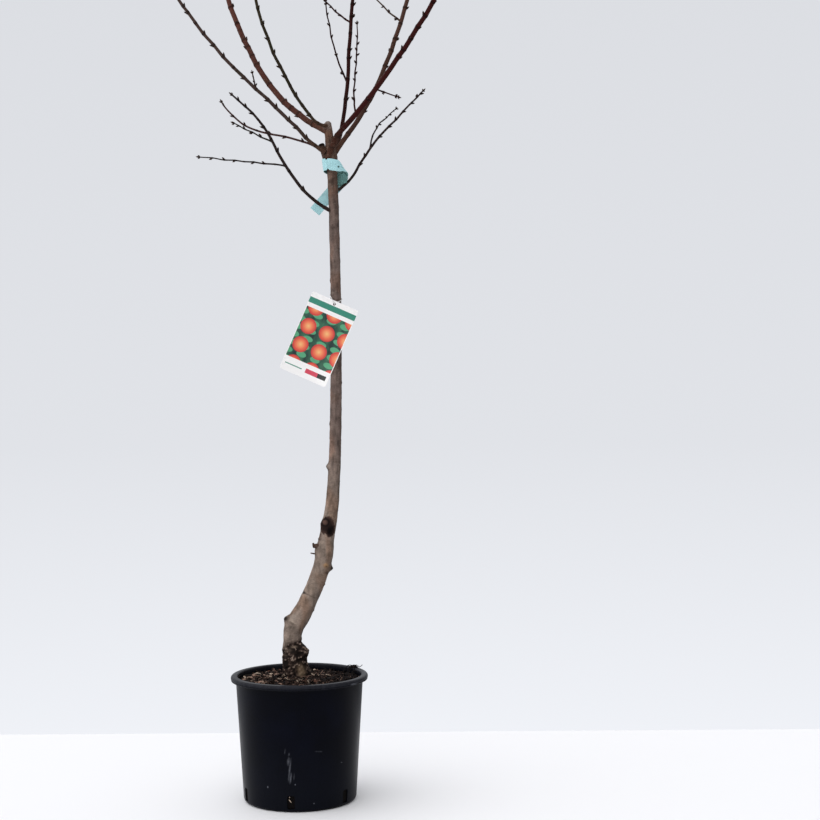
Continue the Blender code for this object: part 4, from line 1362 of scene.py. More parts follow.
# Marks on the trunk's bark: height, heading, reach up and down, reach around, rise and colour
Mark = namedtuple("Mark", "height heading tall wide rise colour strength")
BLACK = (0.009, 0.006, 0.005)
DARK = (0.035, 0.021, 0.016)
TAN = (0.42, 0.25, 0.13)
PALE = (0.46, 0.37, 0.30)
TRUNK_MARKS = (
    Mark(0.4690, 224, 0.0024, 0.0032, 0.0004, (0.30, 0.23, 0.18), 0.75),
    Mark(0.3090, 196, 0.0028, 0.0050, 0.0010, BLACK, 0.95),
    Mark(0.3135, 180, 0.0020, 0.0040, 0.0008, DARK, 0.80),
    # Painted highlight and shade: a pale raised line with a dark sunk line under it.
    Mark(0.3105, 256, 0.0010, 0.0060, 0.0003, PALE, 0.75),
    Mark(0.3085, 248, 0.0008, 0.0060, -0.0003, DARK, 0.60),
    Mark(0.3160, 238, 0.0060, 0.0060, 0.0, (0.40, 0.33, 0.28), 0.45),
    Mark(0.3370, 284, 0.0110, 0.0050, 0.0, (0.36, 0.24, 0.18), 0.50),
    Mark(0.3300, 310, 0.0100, 0.0050, 0.0, (0.17, 0.11, 0.08), 0.50),
    # Painted shade: dark creases sunk into the bark.
    Mark(0.3583, 208, 0.0018, 0.0060, -0.0012, BLACK, 0.95),
    Mark(0.3580, 255, 0.0006, 0.0140, -0.0005, DARK, 0.85),
    Mark(0.3700, 260, 0.0090, 0.0060, 0.0, (0.38, 0.29, 0.23), 0.40),
    Mark(0.4110, 352, 0.0036, 0.0042, 0.0022, BLACK, 0.95),
    Mark(0.4135, 298, 0.0034, 0.0042, 0.0007, TAN, 0.85),
    Mark(0.4120, 304, 0.0015, 0.0019, -0.0004, DARK, 0.75),
    Mark(0.4020, 330, 0.0032, 0.0060, 0.0, DARK, 0.70),
    Mark(0.3830, 356, 0.0018, 0.0022, 0.0010, DARK, 0.70),
    Mark(0.3390, 352, 0.0018, 0.0026, 0.0012, DARK, 0.60),
    Mark(0.4560, 196, 0.0018, 0.0080, 0.0010, DARK, 0.85),
    Mark(0.4620, 205, 0.0050, 0.0050, 0.0006, (0.06, 0.035, 0.028), 0.60),
    Mark(0.5860, 184, 0.0046, 0.0032, 0.0006, (0.06, 0.04, 0.032), 0.85),
    Mark(0.5868, 214, 0.0030, 0.0030, 0.0008, (0.34, 0.28, 0.24), 0.60),
    Mark(0.5795, 215, 0.0010, 0.0050, 0.0, DARK, 0.55),
    Mark(0.6620, 200, 0.0030, 0.0035, 0.0014, DARK, 0.60),
    Mark(0.7350, 340, 0.0030, 0.0035, 0.0014, DARK, 0.60),
    Mark(0.8620, 300, 0.0022, 0.0040, 0.0008, DARK, 0.55),
    Mark(0.9150, 175, 0.0030, 0.0035, 0.0012, DARK, 0.60),
    Mark(0.9700, 330, 0.0030, 0.0035, 0.0014, DARK, 0.60),
    Mark(1.0030, 100, 0.0030, 0.0035, 0.0012, DARK, 0.60),
    Mark(1.0090, 262, 0.0016, 0.0050, 0.0006, DARK, 0.50),
    Mark(1.0900, 250, 0.0040, 0.0050, 0.0006, DARK, 0.60),
    Mark(0.2280, 300, 0.0090, 0.0060, 0.0014, (0.25, 0.17, 0.105), 0.55),
    Mark(0.2225, 292, 0.0030, 0.0030, 0.0010, (0.30, 0.22, 0.15), 0.60),
    Mark(0.2340, 306, 0.0030, 0.0026, 0.0008, (0.28, 0.20, 0.14), 0.60),
    Mark(0.2655, 246, 0.0024, 0.0050, 0.0008, (0.20, 0.15, 0.12), 0.45),
    Mark(0.2705, 282, 0.0018, 0.0050, 0.0006, (0.28, 0.21, 0.16), 0.70),
    Mark(0.2570, 222, 0.0022, 0.0040, 0.0006, (0.15, 0.11, 0.085), 0.40),
)


def wound(height, heading, radius, spot):
    """The pruning wound: how far it lifts the bark, its colour, and how much of that shows."""
    def reach(centre, level, wide, tall):
        around = round_trunk(heading, centre, radius)
        return math.hypot(around / wide, (height - level) / tall)

    ragged = 1 + 0.22 * noise.noise(spot * 150.0) + 0.16 * noise.noise(spot * 420.0)
    rim = reach(254, 0.4830, 0.0112, 0.0150) * ragged
    if rim > 2.2:
        return 0.0, BLACK, 0.0
    knot = reach(240, 0.4870, 0.0042, 0.0046)
    rim = min(rim, reach(288, 0.4760, 0.0082, 0.0125) * ragged)
    hollow = reach(290, 0.4740, 0.0060, 0.0085)
    lift = 0.0017 * bell(rim - 0.88, 0.26) - 0.0010 * math.exp(-(rim / 0.6) ** 4)
    lift += 0.0030 * math.exp(-knot * knot * 1.3) - 0.0022 * math.exp(-hollow * hollow)
    colour = blend((0.022, 0.012, 0.010), (0.075, 0.042, 0.034), share_between(0.65, 1.0, rim) * 0.8)
    colour = blend(colour, (0.115, 0.066, 0.052), math.exp(-knot ** 4))
    # Partly the wound's own dark wood and partly painted shade: a dark ring round the foot of the knot and a
    # near-black hollow.
    colour = blend(colour, (0.004, 0.003, 0.003), bell(knot - 1.35, 0.3) * 0.8)
    colour = blend(colour, (0.003, 0.002, 0.002), math.exp(-hollow ** 3))
    return lift, colour, 1 - share_between(0.92, 1.14, rim)


GNARLED_TOP = 0.2840
LENTICELS = 620


def seeded_lenticels():
    """Short raised bars across the smooth bark: height, heading, half length and half height."""
    rule = random.Random("lenticels")
    bars = []
    for _ in range(LENTICELS):
        height = rule.uniform(GNARLED_TOP + 0.004, 1.185)
        heading = rule.uniform(0, 360)
        bars.append((height, heading, rule.uniform(0.0011, 0.0034), rule.uniform(0.0004, 0.0007)))
    return sorted(bars)


def trunk_bark(height, heading, radius, spot, bars):
    """How far the bark's relief lifts a spot of the trunk, and its colour there, with painted shade on the
    trunk's right side and in the grooves of its relief.
    """
    edge = noise.noise(spot * 95.0) * 0.005
    edge += 0.011 * facing(heading, 195)
    gnarled = 1 - share_between(GNARLED_TOP - 0.005, GNARLED_TOP + 0.001, height + edge)
    lift = 0.00050 * noise.noise(spot * 48.0) + 0.00026 * noise.noise(spot * 170.0)
    stretched = Vector((spot.x, spot.y, spot.z * 3.4))
    wrinkle = noise.noise(stretched * 330.0)
    lift += 0.00012 * wrinkle
    upper = share_between(0.50, 0.66, height)
    fork = share_between(1.000, 1.130, height)
    patch = noise.fractal(Vector((spot.x, spot.y, spot.z * 0.8)) * 85.0, 1.0, 2.0, 3)
    smooth = blend((0.246, 0.190, 0.157), (0.180, 0.131, 0.113), upper)
    smooth = blend(smooth, (0.140, 0.083, 0.060), fork * 0.85)
    # The patch term is random tone; the wrinkle term follows the wrinkles' relief, as painted shade in their
    # grooves and painted highlight on their crests.
    smooth = shaded(smooth, 1.0 + 0.50 * patch + 0.26 * wrinkle)
    # Painted shade: the bark is darker on the trunk's right side, away from the main light.
    smooth = shaded(smooth, 1.0 - 0.30 * facing(heading, 12))
    warm = noise.noise(Vector((spot.x, spot.y, spot.z * 0.5)) * 52.0 + Vector((7, 3, 1)))
    tan = (smooth[0] * 1.08, smooth[1] * 0.95, smooth[2] * 0.86)
    smooth = blend(smooth, tan, share_between(0.0, 0.4, warm))
    streak = noise.noise(Vector((spot.x * 5, spot.y * 5, spot.z)) * 40.0)
    smooth = blend(smooth, shaded(smooth, 0.55), share_between(0.12, 0.5, streak) * 0.7)
    ridges = noise.ridged_multi_fractal(spot * 78.0, 0.9, 2.1, 4, 0.9, 2.0)
    crack = noise.noise(spot * 260.0)
    rough_lift = 0.0024 * (ridges - 0.95) + 0.0008 * crack + 0.0004
    # The gnarled foot's colour follows its relief: black in the crevices, brown and then pale on the crests,
    # partly the old bark's own colour and partly painted shade in the crevices and painted highlight on the
    # crests.
    crest = ridges + 0.5 * crack
    rough = blend(BLACK, (0.056, 0.035, 0.028), share_between(0.72, 1.30, crest))
    pale = share_between(1.20, 1.42, crest) * share_between(0.215, 0.240, height)
    pale *= share_between(0.0, 0.007, GNARLED_TOP - height - edge)
    rough = blend(rough, (0.33, 0.250, 0.205), pale)
    lift = lift * (1 - gnarled) + rough_lift * gnarled
    lift -= 0.0034 * bell(height - TRUNK_FOOT, 0.012) * facing(heading, 205)
    colour = blend(smooth, rough, gnarled)
    seam = bell(height + edge - GNARLED_TOP, 0.0016)
    lift += 0.0006 * seam
    colour = blend(colour, DARK, 0.45 * seam)
    for bar_height, bar_heading, half, tall in bars:
        up = (height - bar_height) / tall
        if abs(up) > 2:
            continue
        around = round_trunk(heading, bar_heading, radius) / half
        if abs(around) > 1.6:
            continue
        here = math.exp(-up * up - around ** 4) * (1 - gnarled)
        lift += 0.00028 * here
        bar_colour = shaded(PALE, 0.55) if bar_heading % 2 > 0.7 else DARK
        colour = blend(colour, bar_colour, 0.5 * here)
    for mark in TRUNK_MARKS:
        up = (height - mark.height) / mark.tall
        if abs(up) > 2.2:
            continue
        around = round_trunk(heading, mark.heading, radius) / mark.wide
        wobble = 1 + 0.45 * noise.noise(spot * 230.0)
        here = math.exp(-(up * up + around * around) * wobble)
        lift += mark.rise * here
        colour = blend(colour, mark.colour, min(1.0, here * 1.5) * mark.strength)
    rise, tone, share = wound(height, heading, radius, spot)
    return lift + rise, blend(colour, tone, share)


def trunk_rings():
    """Ring heights: closest at the gnarled foot, close at the crook and the fork."""
    heights = [TRUNK_FOOT - 0.0015]
    while heights[-1] < TRUNK_TIP - 0.0006:
        here = heights[-1]
        step = 0.0008 if here < 0.28 else 0.0013 if here < 0.51 else 0.0025 if here < 1.09 else 0.0014
        heights.append(min(here + step, TRUNK_TIP))
    return heights


def shaped_sleeve(name, rings, sides, spot_of):
    """A closed tube whose vertices and their colours come from spot_of(ring, turn)."""
    bm = sleeve(rings, sides)
    tone = bm.verts.layers.float_color.new("bark_colour")
    known = {}
    for vert in bm.verts:
        ring = round(vert.co.y)
        turn = vert.co.x % 1.0 if vert.co.x < 0.9999 else 0.0
        entry = (ring, round(turn * sides))
        if entry not in known:
            known[entry] = spot_of(ring, turn)
        place, colour = known[entry]
        vert.co = place
        vert[tone] = (*colour, 1.0)
    close_sleeve(bm)
    return add_object(name, bm, [])


def trunk_piece(sides):
    """The trunk with all its relief, from the flat cut to the rounded tip."""
    heights = trunk_rings()
    bars = seeded_lenticels()
    stations = []
    for height in heights:
        inside = max(height, TRUNK_FOOT)
        middle, radius = trunk_station(inside)
        ahead, _ = trunk_station(min(inside + 0.004, TRUNK_TIP))
        behind, _ = trunk_station(max(inside - 0.004, TRUNK_FOOT))
        forward = (ahead - behind).normalized()
        level = min(1.0, (inside - TRUNK_FOOT) / 0.03)
        forward = Vector((forward.x * level, forward.y * level, forward.z)).normalized()
        turned = Vector((0, 0, 1)).rotation_difference(forward).to_matrix()
        near = [bar for bar in bars if abs(bar[0] - height) < 0.002]
        middle.z = height
        stations.append((middle, radius, turned, near))

    def spot_of(ring, turn):
        middle, radius, turned, near = stations[ring]
        height = heights[ring]
        heading = 360.0 * turn
        outward = turned @ along(heading, 90)
        reach = radius + trunk_swell(max(height, TRUNK_FOOT), heading, radius)
        lift, colour = trunk_bark(height, heading, radius, middle + outward * reach, near)
        rounding = share_between(TRUNK_TIP - 0.0045, TRUNK_TIP, height)
        reach = (reach + lift) * (1 - 0.62 * rounding ** 2)
        grey = share_between(TRUNK_TIP - 0.022, TRUNK_TIP - 0.006, height)
        weathered = shaded((0.25, 0.20, 0.18), 1 + 0.5 * noise.noise(middle * 300 + outward))
        return middle + outward * reach, blend(colour, weathered, grey * 0.8)

    return shaped_sleeve("trunk_and_boughs", len(heights), sides, spot_of)


def stub_piece(stub, sides):
    """One sawn-off stub: ridged bark and a dark, uneven cut end."""
    line = along(stub.heading, stub.lean)
    side = line.orthogonal().normalized()
    other = line.cross(side)
    rings = max(8, round(stub.length / 0.0007))

    def spot_of(ring, turn):
        share = ring / (rings - 1)
        angle = math.tau * turn
        outward = ray(angle, side, other)
        radius = stub.base + (stub.tip - stub.base) * share
        radius *= 1 + 0.10 * stub.black * share_between(0.86, 0.90, share)
        radius *= 1 - 0.30 * share_between(0.96, 1.0, share)
        middle = Vector(stub.foot) + line * stub.length * share
        spot = middle + outward * radius
        chipped = share_between(0.7, 1.0, share) * stub.tip / 0.0047
        radius += stub.tip * 0.09 * noise.noise(spot * 140.0) + 0.0009 * chipped * noise.noise(spot * 300.0)
        bark = blend((0.105, 0.062, 0.046), (0.085, 0.052, 0.040), share_between(1.0, 0.5, stub.foot[2]))
        colour = shaded(bark, 1 + 0.5 * noise.noise(spot * 120.0))
        soot = max(share_between(0.82, 0.88, share) * stub.black, stub.black * 0.4 * share)
        colour = blend(colour, BLACK, soot)
        rise = 0.0012 * chipped * noise.noise(Vector((spot.x, spot.y, 0.3)) * 420.0)
        return middle + outward * radius + line * rise, colour

    return shaped_sleeve("stub_piece", rings, sides, spot_of)


def bough_tone(key, place, spot):
    """A bough's bark colour: brown at the fork, near black under it, its own tint further out."""
    own = BARK_TINTS[key]
    tone = shaded(own, 1.0 + 0.22 * noise.noise(spot * 160.0))
    olive = (own[0] * 0.72, own[1] * 0.92, own[2] * 0.72)
    tone = blend(tone, olive, share_between(0.0, 0.35, noise.noise(spot * 34.0)) * 0.7)
    foot = (0.036, 0.021, 0.017) if LIMBS[key].foot[2] < LOW_FOOT else (0.108, 0.051, 0.032)
    return blend(blend(foot, tone, 0.30), tone, share_between(0.0, 0.075, place))


def bough_piece(key, sides):
    """One bough with its nodes and relief, from inside the trunk to where its twigs start."""
    shoot = shoots_of(key)[0]
    end = LIMBS[key].split * shoot.length if LIMBS[key].split else 0.012
    places = shoot.ring_places(0.0016, 0.0, end)
    frames = [shoot.frame_at(place) for place in places]

    def spot_of(ring, turn):
        place = places[ring]
        middle, _, side, other = frames[ring]
        angle = math.tau * turn
        outward = ray(angle, side, other)
        radius = shoot.radius_at(place / shoot.length)
        spot = middle + outward * radius
        lift = radius * 0.07 * noise.noise(spot * 75.0) + 0.00012 * noise.noise(spot * 380.0)
        ring_scar = bell(end - place - 0.0012, 0.0007)
        lift += 0.00028 * ring_scar
        lift += shoot.swell(place, angle, radius)
        colour = bough_tone(key, place, spot)
        speck = noise.noise(Vector((spot.x, spot.y, spot.z * 0.6)) * 520.0)
        colour = blend(colour, shaded(PALE, 0.40), share_between(0.42, 0.62, speck) * 0.5)
        colour = blend(colour, shaded(DARK, 0.6), 0.65 * shoot.darkening(place))
        colour = blend(colour, DARK, 0.6 * ring_scar)
        return middle + shoot.sway(place, frames[ring]) + outward * (radius + lift), colour

    return shaped_sleeve("bough_piece", len(places), sides, spot_of)


def recolour(target, originals):
    """Give each vertex the colour of the nearest vertex that was joined in."""
    tree = kdtree.KDTree(len(originals))
    for number, (place, _) in enumerate(originals):
        tree.insert(place, number)
    tree.balance()
    mesh = target.data
    if "bark_colour" in mesh.color_attributes:
        mesh.color_attributes.remove(mesh.color_attributes["bark_colour"])
    flat = []
    for vert in mesh.vertices:
        flat += [*originals[tree.find(vert.co)[1]][1], 1.0]
    layer = mesh.color_attributes.new("bark_colour", "FLOAT_COLOR", "POINT")
    layer.data.foreach_set("color", flat)


def soften_joins(target, feet):
    """Smooth the creases where the boughs leave the trunk, shape and colour both."""
    bm = bmesh.new()
    bm.from_mesh(target.data)
    tone = bm.verts.layers.float_color["bark_colour"]
    creased = set()
    for edge in bm.edges:
        if edge.is_manifold and edge.calc_face_angle(0.0) > math.radians(32):
            middle = (edge.verts[0].co + edge.verts[1].co) / 2
            if any((middle - foot).length < reach for foot, reach in feet):
                creased.update(edge.verts)
    for _ in range(2):
        creased.update([edge.other_vert(vert) for vert in list(creased) for edge in vert.link_edges])
    for _ in range(5):
        bmesh.ops.smooth_vert(
            bm, verts=list(creased), factor=0.5, use_axis_x=True, use_axis_y=True, use_axis_z=True,
        )
    for _ in range(2):
        creased.update([edge.other_vert(vert) for vert in list(creased) for edge in vert.link_edges])
    for _ in range(6):
        fresh = {}
        for vert in creased:
            around = [Vector(edge.other_vert(vert)[tone]) for edge in vert.link_edges]
            fresh[vert] = (Vector(vert[tone]) + sum(around, Vector((0, 0, 0, 0)))) / (len(around) + 1)
        for vert, colour in fresh.items():
            vert[tone] = colour
    bm.to_mesh(target.data)
    bm.free()


def bark_material():
    """Bark that reads its colour from the wood, with fine grain and a dull shine."""
    paint = Paint("bark", 0.8)
    painted = paint.node("Attribute", attribute_type="GEOMETRY", attribute_name="bark_colour")
    where = paint.place()
    grain = paint.noise(where, 700.0, 5.0, 0.65)
    bars = paint.noise(paint.place(scale=(1, 1, 4.5)), 210.0, 4.0, 0.6)
    shade = paint.ramp(grain, (0.30, 0.72), (0.70, 1.0))
    tone = paint.mix(1.0, painted.outputs["Color"], shade, "MULTIPLY")
    tone = paint.mix(0.5, tone, paint.ramp(bars, (0.38, 0.60), (0.55, 1.0)), "MULTIPLY")
    paint.colour(tone)
    paint.roughness(paint.ramp(grain, (0.3, 0.62), (0.7, 0.88)))
    paint.bump(paint.maths("ADD", grain, paint.maths("MULTIPLY", bars, 0.8)), 0.55, 0.0004)
    paint.shine(0.08)
    return paint.made


def build_trunk(settings):
    """The trunk, its stubs and all boughs as one closed skin with the bark's relief."""
    trunk = trunk_piece(settings.trunk_sides)
    parts = [stub_piece(stub, STUB_SIDES) for stub in STUBS]
    parts += [bough_piece(key, settings.bough_sides) for key in LIMBS]
    originals = []
    for part in [trunk] + parts:
        layer = part.data.color_attributes["bark_colour"]
        for vert, entry in zip(part.data.vertices, layer.data):
            originals.append((vert.co.copy(), tuple(entry.color)[:3]))
    boolean(trunk, "UNION", parts)
    recolour(trunk, originals)
    feet = [(Vector(limb.foot), limb.base * 2 + 0.012) for limb in LIMBS.values()]
    feet += [(Vector(stub.foot), stub.base * 2 + 0.010) for stub in STUBS]
    soften_joins(trunk, feet)
    trunk.data.materials.append(bark_material())
    trunk.data.shade_smooth()
    boughs = ["bough_" + key for key, limb in LIMBS.items() if limb.split]
    mount_piece(trunk, "old_bark", "trunk", *boughs)


# Young wood


# Smooth young bark: roughness, grain, relief and shine
TWIG_LOOK = (0.5, (330.0, 4.0, 0.6), (0.35, 0.0003), 0.06)
DARK_TINT = 4


def shoot_tube(shoot, sides, spacing, tint):
    """A shoot's wood, from where its mass starts to its tip, as points, faces and tints."""
    start = max(0.0, shoot.start * shoot.length - 0.0012) if shoot.start else 0.0
    places = shoot.ring_places(spacing, start)
    frames = [shoot.frame_at(place) for place in places]
    points = []
    for place, here in zip(places, frames):
        middle, _, side, other = here
        radius = shoot.radius_at(place / shoot.length)
        if place > shoot.length - 0.0012:
            radius *= 0.75
        middle = middle + shoot.sway(place, here)
        for corner in range(sides):
            angle = math.tau * corner / sides
            outward = ray(angle, side, other)
            points.append(middle + outward * (radius + shoot.swell(place, angle, radius)))
    points += [frames[0][0], frames[-1][0] + frames[-1][1] * 0.0006]
    tints = []
    for low, high in zip(places, places[1:]):
        shade = DARK_TINT if shoot.darkening((low + high) / 2) > 0.45 else tint
        tints += [shade] * sides
    return points, tube_faces(len(places), sides), tints + [tint, DARK_TINT] * sides


def build_young_wood(settings):
    """Each limb's stem, side twigs and spurs as one joined piece for each mass."""
    for key in LIMBS:
        own = BARK_TINTS[key]
        olive = (own[0] * 0.8, own[1] * 1.02, own[2] * 0.8)
        tints = (own, shaded(own, 0.75), olive, shaded(own, 1.25), shaded(own, 0.42))
        materials = []
        for number, tint in enumerate(tints):
            materials.append(grained(f"twig_bark_{key}_{number}", tint, *TWIG_LOOK))
        bundle = Bundle()
        rule = random.Random("tints of " + key)
        for shoot in shoots_of(key):
            if shoot.kind == "limb":
                bundle.add(*shoot_tube(shoot, settings.stem_sides, 0.0035, 0))
            else:
                tint = rule.choice((0, 1, 1, 2, 3))
                bundle.add(*shoot_tube(shoot, settings.twig_sides, 0.0040, tint))
        piece = bundle.build("young_wood_" + key, materials)
        mount_piece(piece, "twig_bark", "twigs_" + key)


BUD_PROFILE = ((0.0, 0.62), (0.20, 0.98), (0.45, 0.92), (0.70, 0.60), (0.90, 0.24))
BUD_SIDES = 6


def bud_shape(foot, forward, length, width):
    """One bud: a pointed egg of overlapping scales, as points and faces."""
    side = forward.orthogonal().normalized()
    other = forward.cross(side)
    points = []
    for share, girth in BUD_PROFILE:
        for corner in range(BUD_SIDES):
            angle = math.tau * (corner + 0.5 * (len(points) // BUD_SIDES % 2)) / BUD_SIDES
            reach = ray(angle, side, other) * width / 2 * girth
            points.append(foot + forward * length * share + reach)
    points += [foot, foot + forward * length]
    return points, tube_faces(len(BUD_PROFILE), BUD_SIDES)


def bud_tints():
    """Material numbers of a bud's faces: dark scales below, paler ones at the tip."""
    tints = []
    for ring in range(len(BUD_PROFILE) - 1):
        tints += [0 if ring < 2 else 1] * BUD_SIDES
    return tints + [0, 2] * BUD_SIDES


def buds_on(shoot, bundle, settings):
    """Buds at each node of a shoot, single or in threes, and a cluster at its tip."""
    rule = random.Random(f"buds {shoot.key} {shoot.kind} {shoot.number}")
    tints = bud_tints()
    for node in shoot.nodes:
        here = shoot.frame_at(node.place)
        middle, forward, side, other = here
        outward = ray(node.swing, side, other)
        across = forward.cross(outward)
        radius = shoot.radius_at(node.place / shoot.length)
        rise = radius + shoot.swell(node.place, node.swing, radius) * 0.6
        foot = middle + shoot.sway(node.place, here) + outward * rise * 0.80
        length = settings.bud_length * node.size
        lean = math.radians(rule.uniform(26, 40))
        direction = forward * math.cos(lean) + outward * math.sin(lean)
        bundle.add(*bud_shape(foot, direction, length, length * 0.56), tints)
        flowering = shoot.kind == "twig" or node.place > 0.25
        if flowering and rule.random() < 0.42:
            for turn in (-1, 1):
                plump = (direction + across * turn * 0.45).normalized()
                spot = foot + across * turn * length * 0.24
                bundle.add(*bud_shape(spot, plump, length * 0.95, length * 0.62), tints)
    end = shoot.line[-1]
    forward = heading_at(shoot.line, 1.0)
    length = settings.bud_length * (1.25 if shoot.kind != "spur" else 1.05)
    bundle.add(*bud_shape(end - forward * 0.0026, forward, length, length * 0.50), tints)
    side = forward.orthogonal()
    start = rule.uniform(0, math.tau)
    for number in range(3):
        outward = Matrix.Rotation(start + math.tau * number / 3, 3, forward) @ side
        direction = (forward * 0.86 + outward * 0.50).normalized()
        foot = end - forward * rule.uniform(0.0030, 0.0046) + outward * 0.0006
        bundle.add(*bud_shape(foot, direction, length * 0.8, length * 0.42), tints)


def build_buds(settings):
    """All buds, one joined piece for each limb."""
    colours = (
        ("bud_scale_dark", (0.020, 0.011, 0.009)),
        ("bud_scale_brown", (0.044, 0.025, 0.019)),
        ("bud_scale_tip", (0.100, 0.072, 0.058)),
    )
    look = (0.7, (1200.0, 3.0), (0.4, 0.0002), 0.10)
    materials = [grained(name, colour, *look) for name, colour in colours]
    for key in LIMBS:
        bundle = Bundle()
        for shoot in shoots_of(key):
            buds_on(shoot, bundle, settings)
        piece = bundle.build("buds_" + key, materials)
        mount_piece(piece, "twig_bark")


# Labels


def smooth_span(a, b, c, d, steps):
    """Points from b towards c on a smooth curve that also heeds a and d."""
    points = []
    for step in range(steps):
        t = step / steps
        bend = (2 * a - 5 * b + 4 * c - d) * t**2 + (3 * b - a - 3 * c + d) * t**3
        points.append(0.5 * (2 * b + (c - a) * t + bend))
    return points


def smooth_line(points, steps, closed=False):
    """A smooth curve through some points, open or closed."""
    count = len(points)
    curve = []
    for index in range(count if closed else count - 1):
        numbers = [index - 1, index, index + 1, index + 2]
        if closed:
            numbers = [number % count for number in numbers]
        else:
            numbers = [min(max(number, 0), count - 1) for number in numbers]
        curve += smooth_span(*[points[number] for number in numbers], steps)
    return curve if closed else curve + [points[-1]]


def card_place():
    """Where the card hangs, and how it is turned."""
    return Matrix.Translation(CARD_CENTRE) @ Matrix.Rotation(math.radians(CARD_TURN), 4, "Y")


def printed_card(settings):
    """A glossy printed card: green head band, rows of plain discs and ovals on green, foot bars."""
    paint = Paint("printed_card", 0.34)
    sheet = paint.node("TexCoord").outputs["UV"]
    across = paint.axis(sheet, "X")
    up = paint.axis(sheet, "Y")

    def window(socket, low, high):
        above = paint.maths("GREATER_THAN", socket, low)
        return paint.maths("MULTIPLY", above, paint.maths("LESS_THAN", socket, high))

    def area(left, right, bottom, top):
        return paint.maths("MULTIPLY", window(across, left, right), window(up, bottom, top))

    def lattice(shift, size):
        mapping = paint.node("Mapping")
        mapping.inputs["Location"].default_value = (*shift, 0)
        mapping.inputs["Scale"].default_value = (*size, 1)
        paint.link(sheet, mapping.inputs["Vector"])
        cells = paint.node("TexVoronoi", voronoi_dimensions="2D", feature="F1")
        cells.inputs["Scale"].default_value = 1.0
        cells.inputs["Randomness"].default_value = 0.0
        paint.link(mapping.outputs["Vector"], cells.inputs["Vector"])
        return cells.outputs["Distance"]

    green = tuple(settings.card_green)
    cloud = paint.noise(sheet, 7.0, 3.0)
    ground = paint.ramp(cloud, (0.35, (0.008, 0.030, 0.028)), (0.7, (0.04, 0.16, 0.09)))
    ovals = lattice((0.0, 0.5), (3.4, 10.0))
    picture = paint.mix(paint.ramp(ovals, (0.33, 1.0), (0.36, 0.0)), ground, (0.09, 0.36, 0.19))
    discs = lattice((0.5, 0.5), (2.5, 4.2))
    warm = paint.ramp(
        discs, (0.0, (0.90, 0.50, 0.20)), (0.20, (0.83, 0.20, 0.09)), (0.38, (0.60, 0.035, 0.04)),
    )
    picture = paint.mix(paint.ramp(discs, (0.395, 1.0), (0.410, 0.0)), picture, warm)
    design = paint.mix(area(0.015, 0.985, 0.175, 0.815), tuple(settings.card), picture)
    bars = (
        (window(up, 0.865, 0.935), green),
        (area(0.50, 0.94, 0.065, 0.120), tuple(settings.card_red)),
        (area(0.76, 0.94, 0.065, 0.120), (0.012, 0.020, 0.017)),
        (area(0.06, 0.42, 0.085, 0.097), green),
    )
    for where, ink in bars:
        design = paint.mix(where, design, ink)
    paint.colour(design)
    paint.bump(paint.noise(paint.place(), 500.0, 2.0), 0.08, 0.0002)
    paint.shader.inputs["Coat Weight"].default_value = 0.35
    paint.shader.inputs["Coat Roughness"].default_value = 0.18
    return paint.made


def plain_card(settings):
    """The card's unprinted edges and back."""
    paint = Paint("plain_card", 0.5, settings.card)
    fibre = paint.noise(paint.place(), 900.0, 4.0)
    speckle = paint.ramp(fibre, (0.3, 0.0), (0.7, 0.15))
    paint.colour(paint.mix(speckle, tuple(settings.card), shaded(settings.card, 0.82)))
    paint.bump(fibre, 0.2, 0.0002)
    return paint.made


def build_card(settings):
    """The hang tag: a bowed card with round corners and a punched hole."""
    width, thick, tall = CARD_SIZE
    bm = bmesh.new()
    bmesh.ops.create_grid(bm, x_segments=CARD_GRID[0], y_segments=CARD_GRID[1], size=0.5)
    bmesh.ops.rotate(bm, verts=bm.verts, cent=(0, 0, 0), matrix=Matrix.Rotation(math.pi / 2, 3, "X"))
    bmesh.ops.scale(bm, verts=bm.verts, vec=(width, 1, tall))
    for vert in bm.verts:
        inner = Vector((width / 2 - CARD_CORNER, 0, tall / 2 - CARD_CORNER))
        over = Vector((abs(vert.co.x) - inner.x, 0, abs(vert.co.z) - inner.z))
        if over.x > 0 and over.z > 0 and over.length > CARD_CORNER:
            over = over.normalized() * CARD_CORNER
            vert.co.x = math.copysign(inner.x + over.x, vert.co.x)
            vert.co.z = math.copysign(inner.z + over.z, vert.co.z)
    for vert in bm.verts:
        vert.co.y = -thick / 2
    bmesh.ops.recalc_face_normals(bm, faces=bm.faces)
    if bm.faces[:][0].normal.y > 0:
        bmesh.ops.reverse_faces(bm, faces=bm.faces)
    bmesh.ops.solidify(bm, geom=list(bm.faces), thickness=thick)
    bmesh.ops.recalc_face_normals(bm, faces=bm.faces)
    card = add_object("hang_tag", bm, [printed_card(settings), plain_card(settings)])
    punch(card, CARD_HOLE_RADIUS, 0.01, 40, (0, 0, tall / 2 - CARD_HOLE_INSET))
    bm = bmesh.new()
    bm.from_mesh(card.data)
    sheet_map = bm.loops.layers.uv.verify()
    for face in bm.faces:
        face.material_index = 0 if face.normal.y < -0.7 else 1
        for loop in face.loops:
            spot = loop.vert.co
            loop[sheet_map].uv = (spot.x / width + 0.5, spot.z / tall + 0.5)
    bow = settings.card_bow
    for vert in bm.verts:
        u = vert.co.x / (width / 2)
        v = vert.co.z / (tall / 2)
        curl = bow * (0.35 * u * u * max(0.0, 0.85 - v) + 0.9 * max(0.0, -v - 0.2) ** 2)
        vert.co.y -= curl * (1 + 0.35 * u)
    bm.to_mesh(card.data)
    bm.free()
    card.data.transform(card_place())
    card.data.shade_smooth()
    card.data.set_sharp_from_angle(angle=math.radians(35))
    mount_piece(card, "printed_card", "label_card")


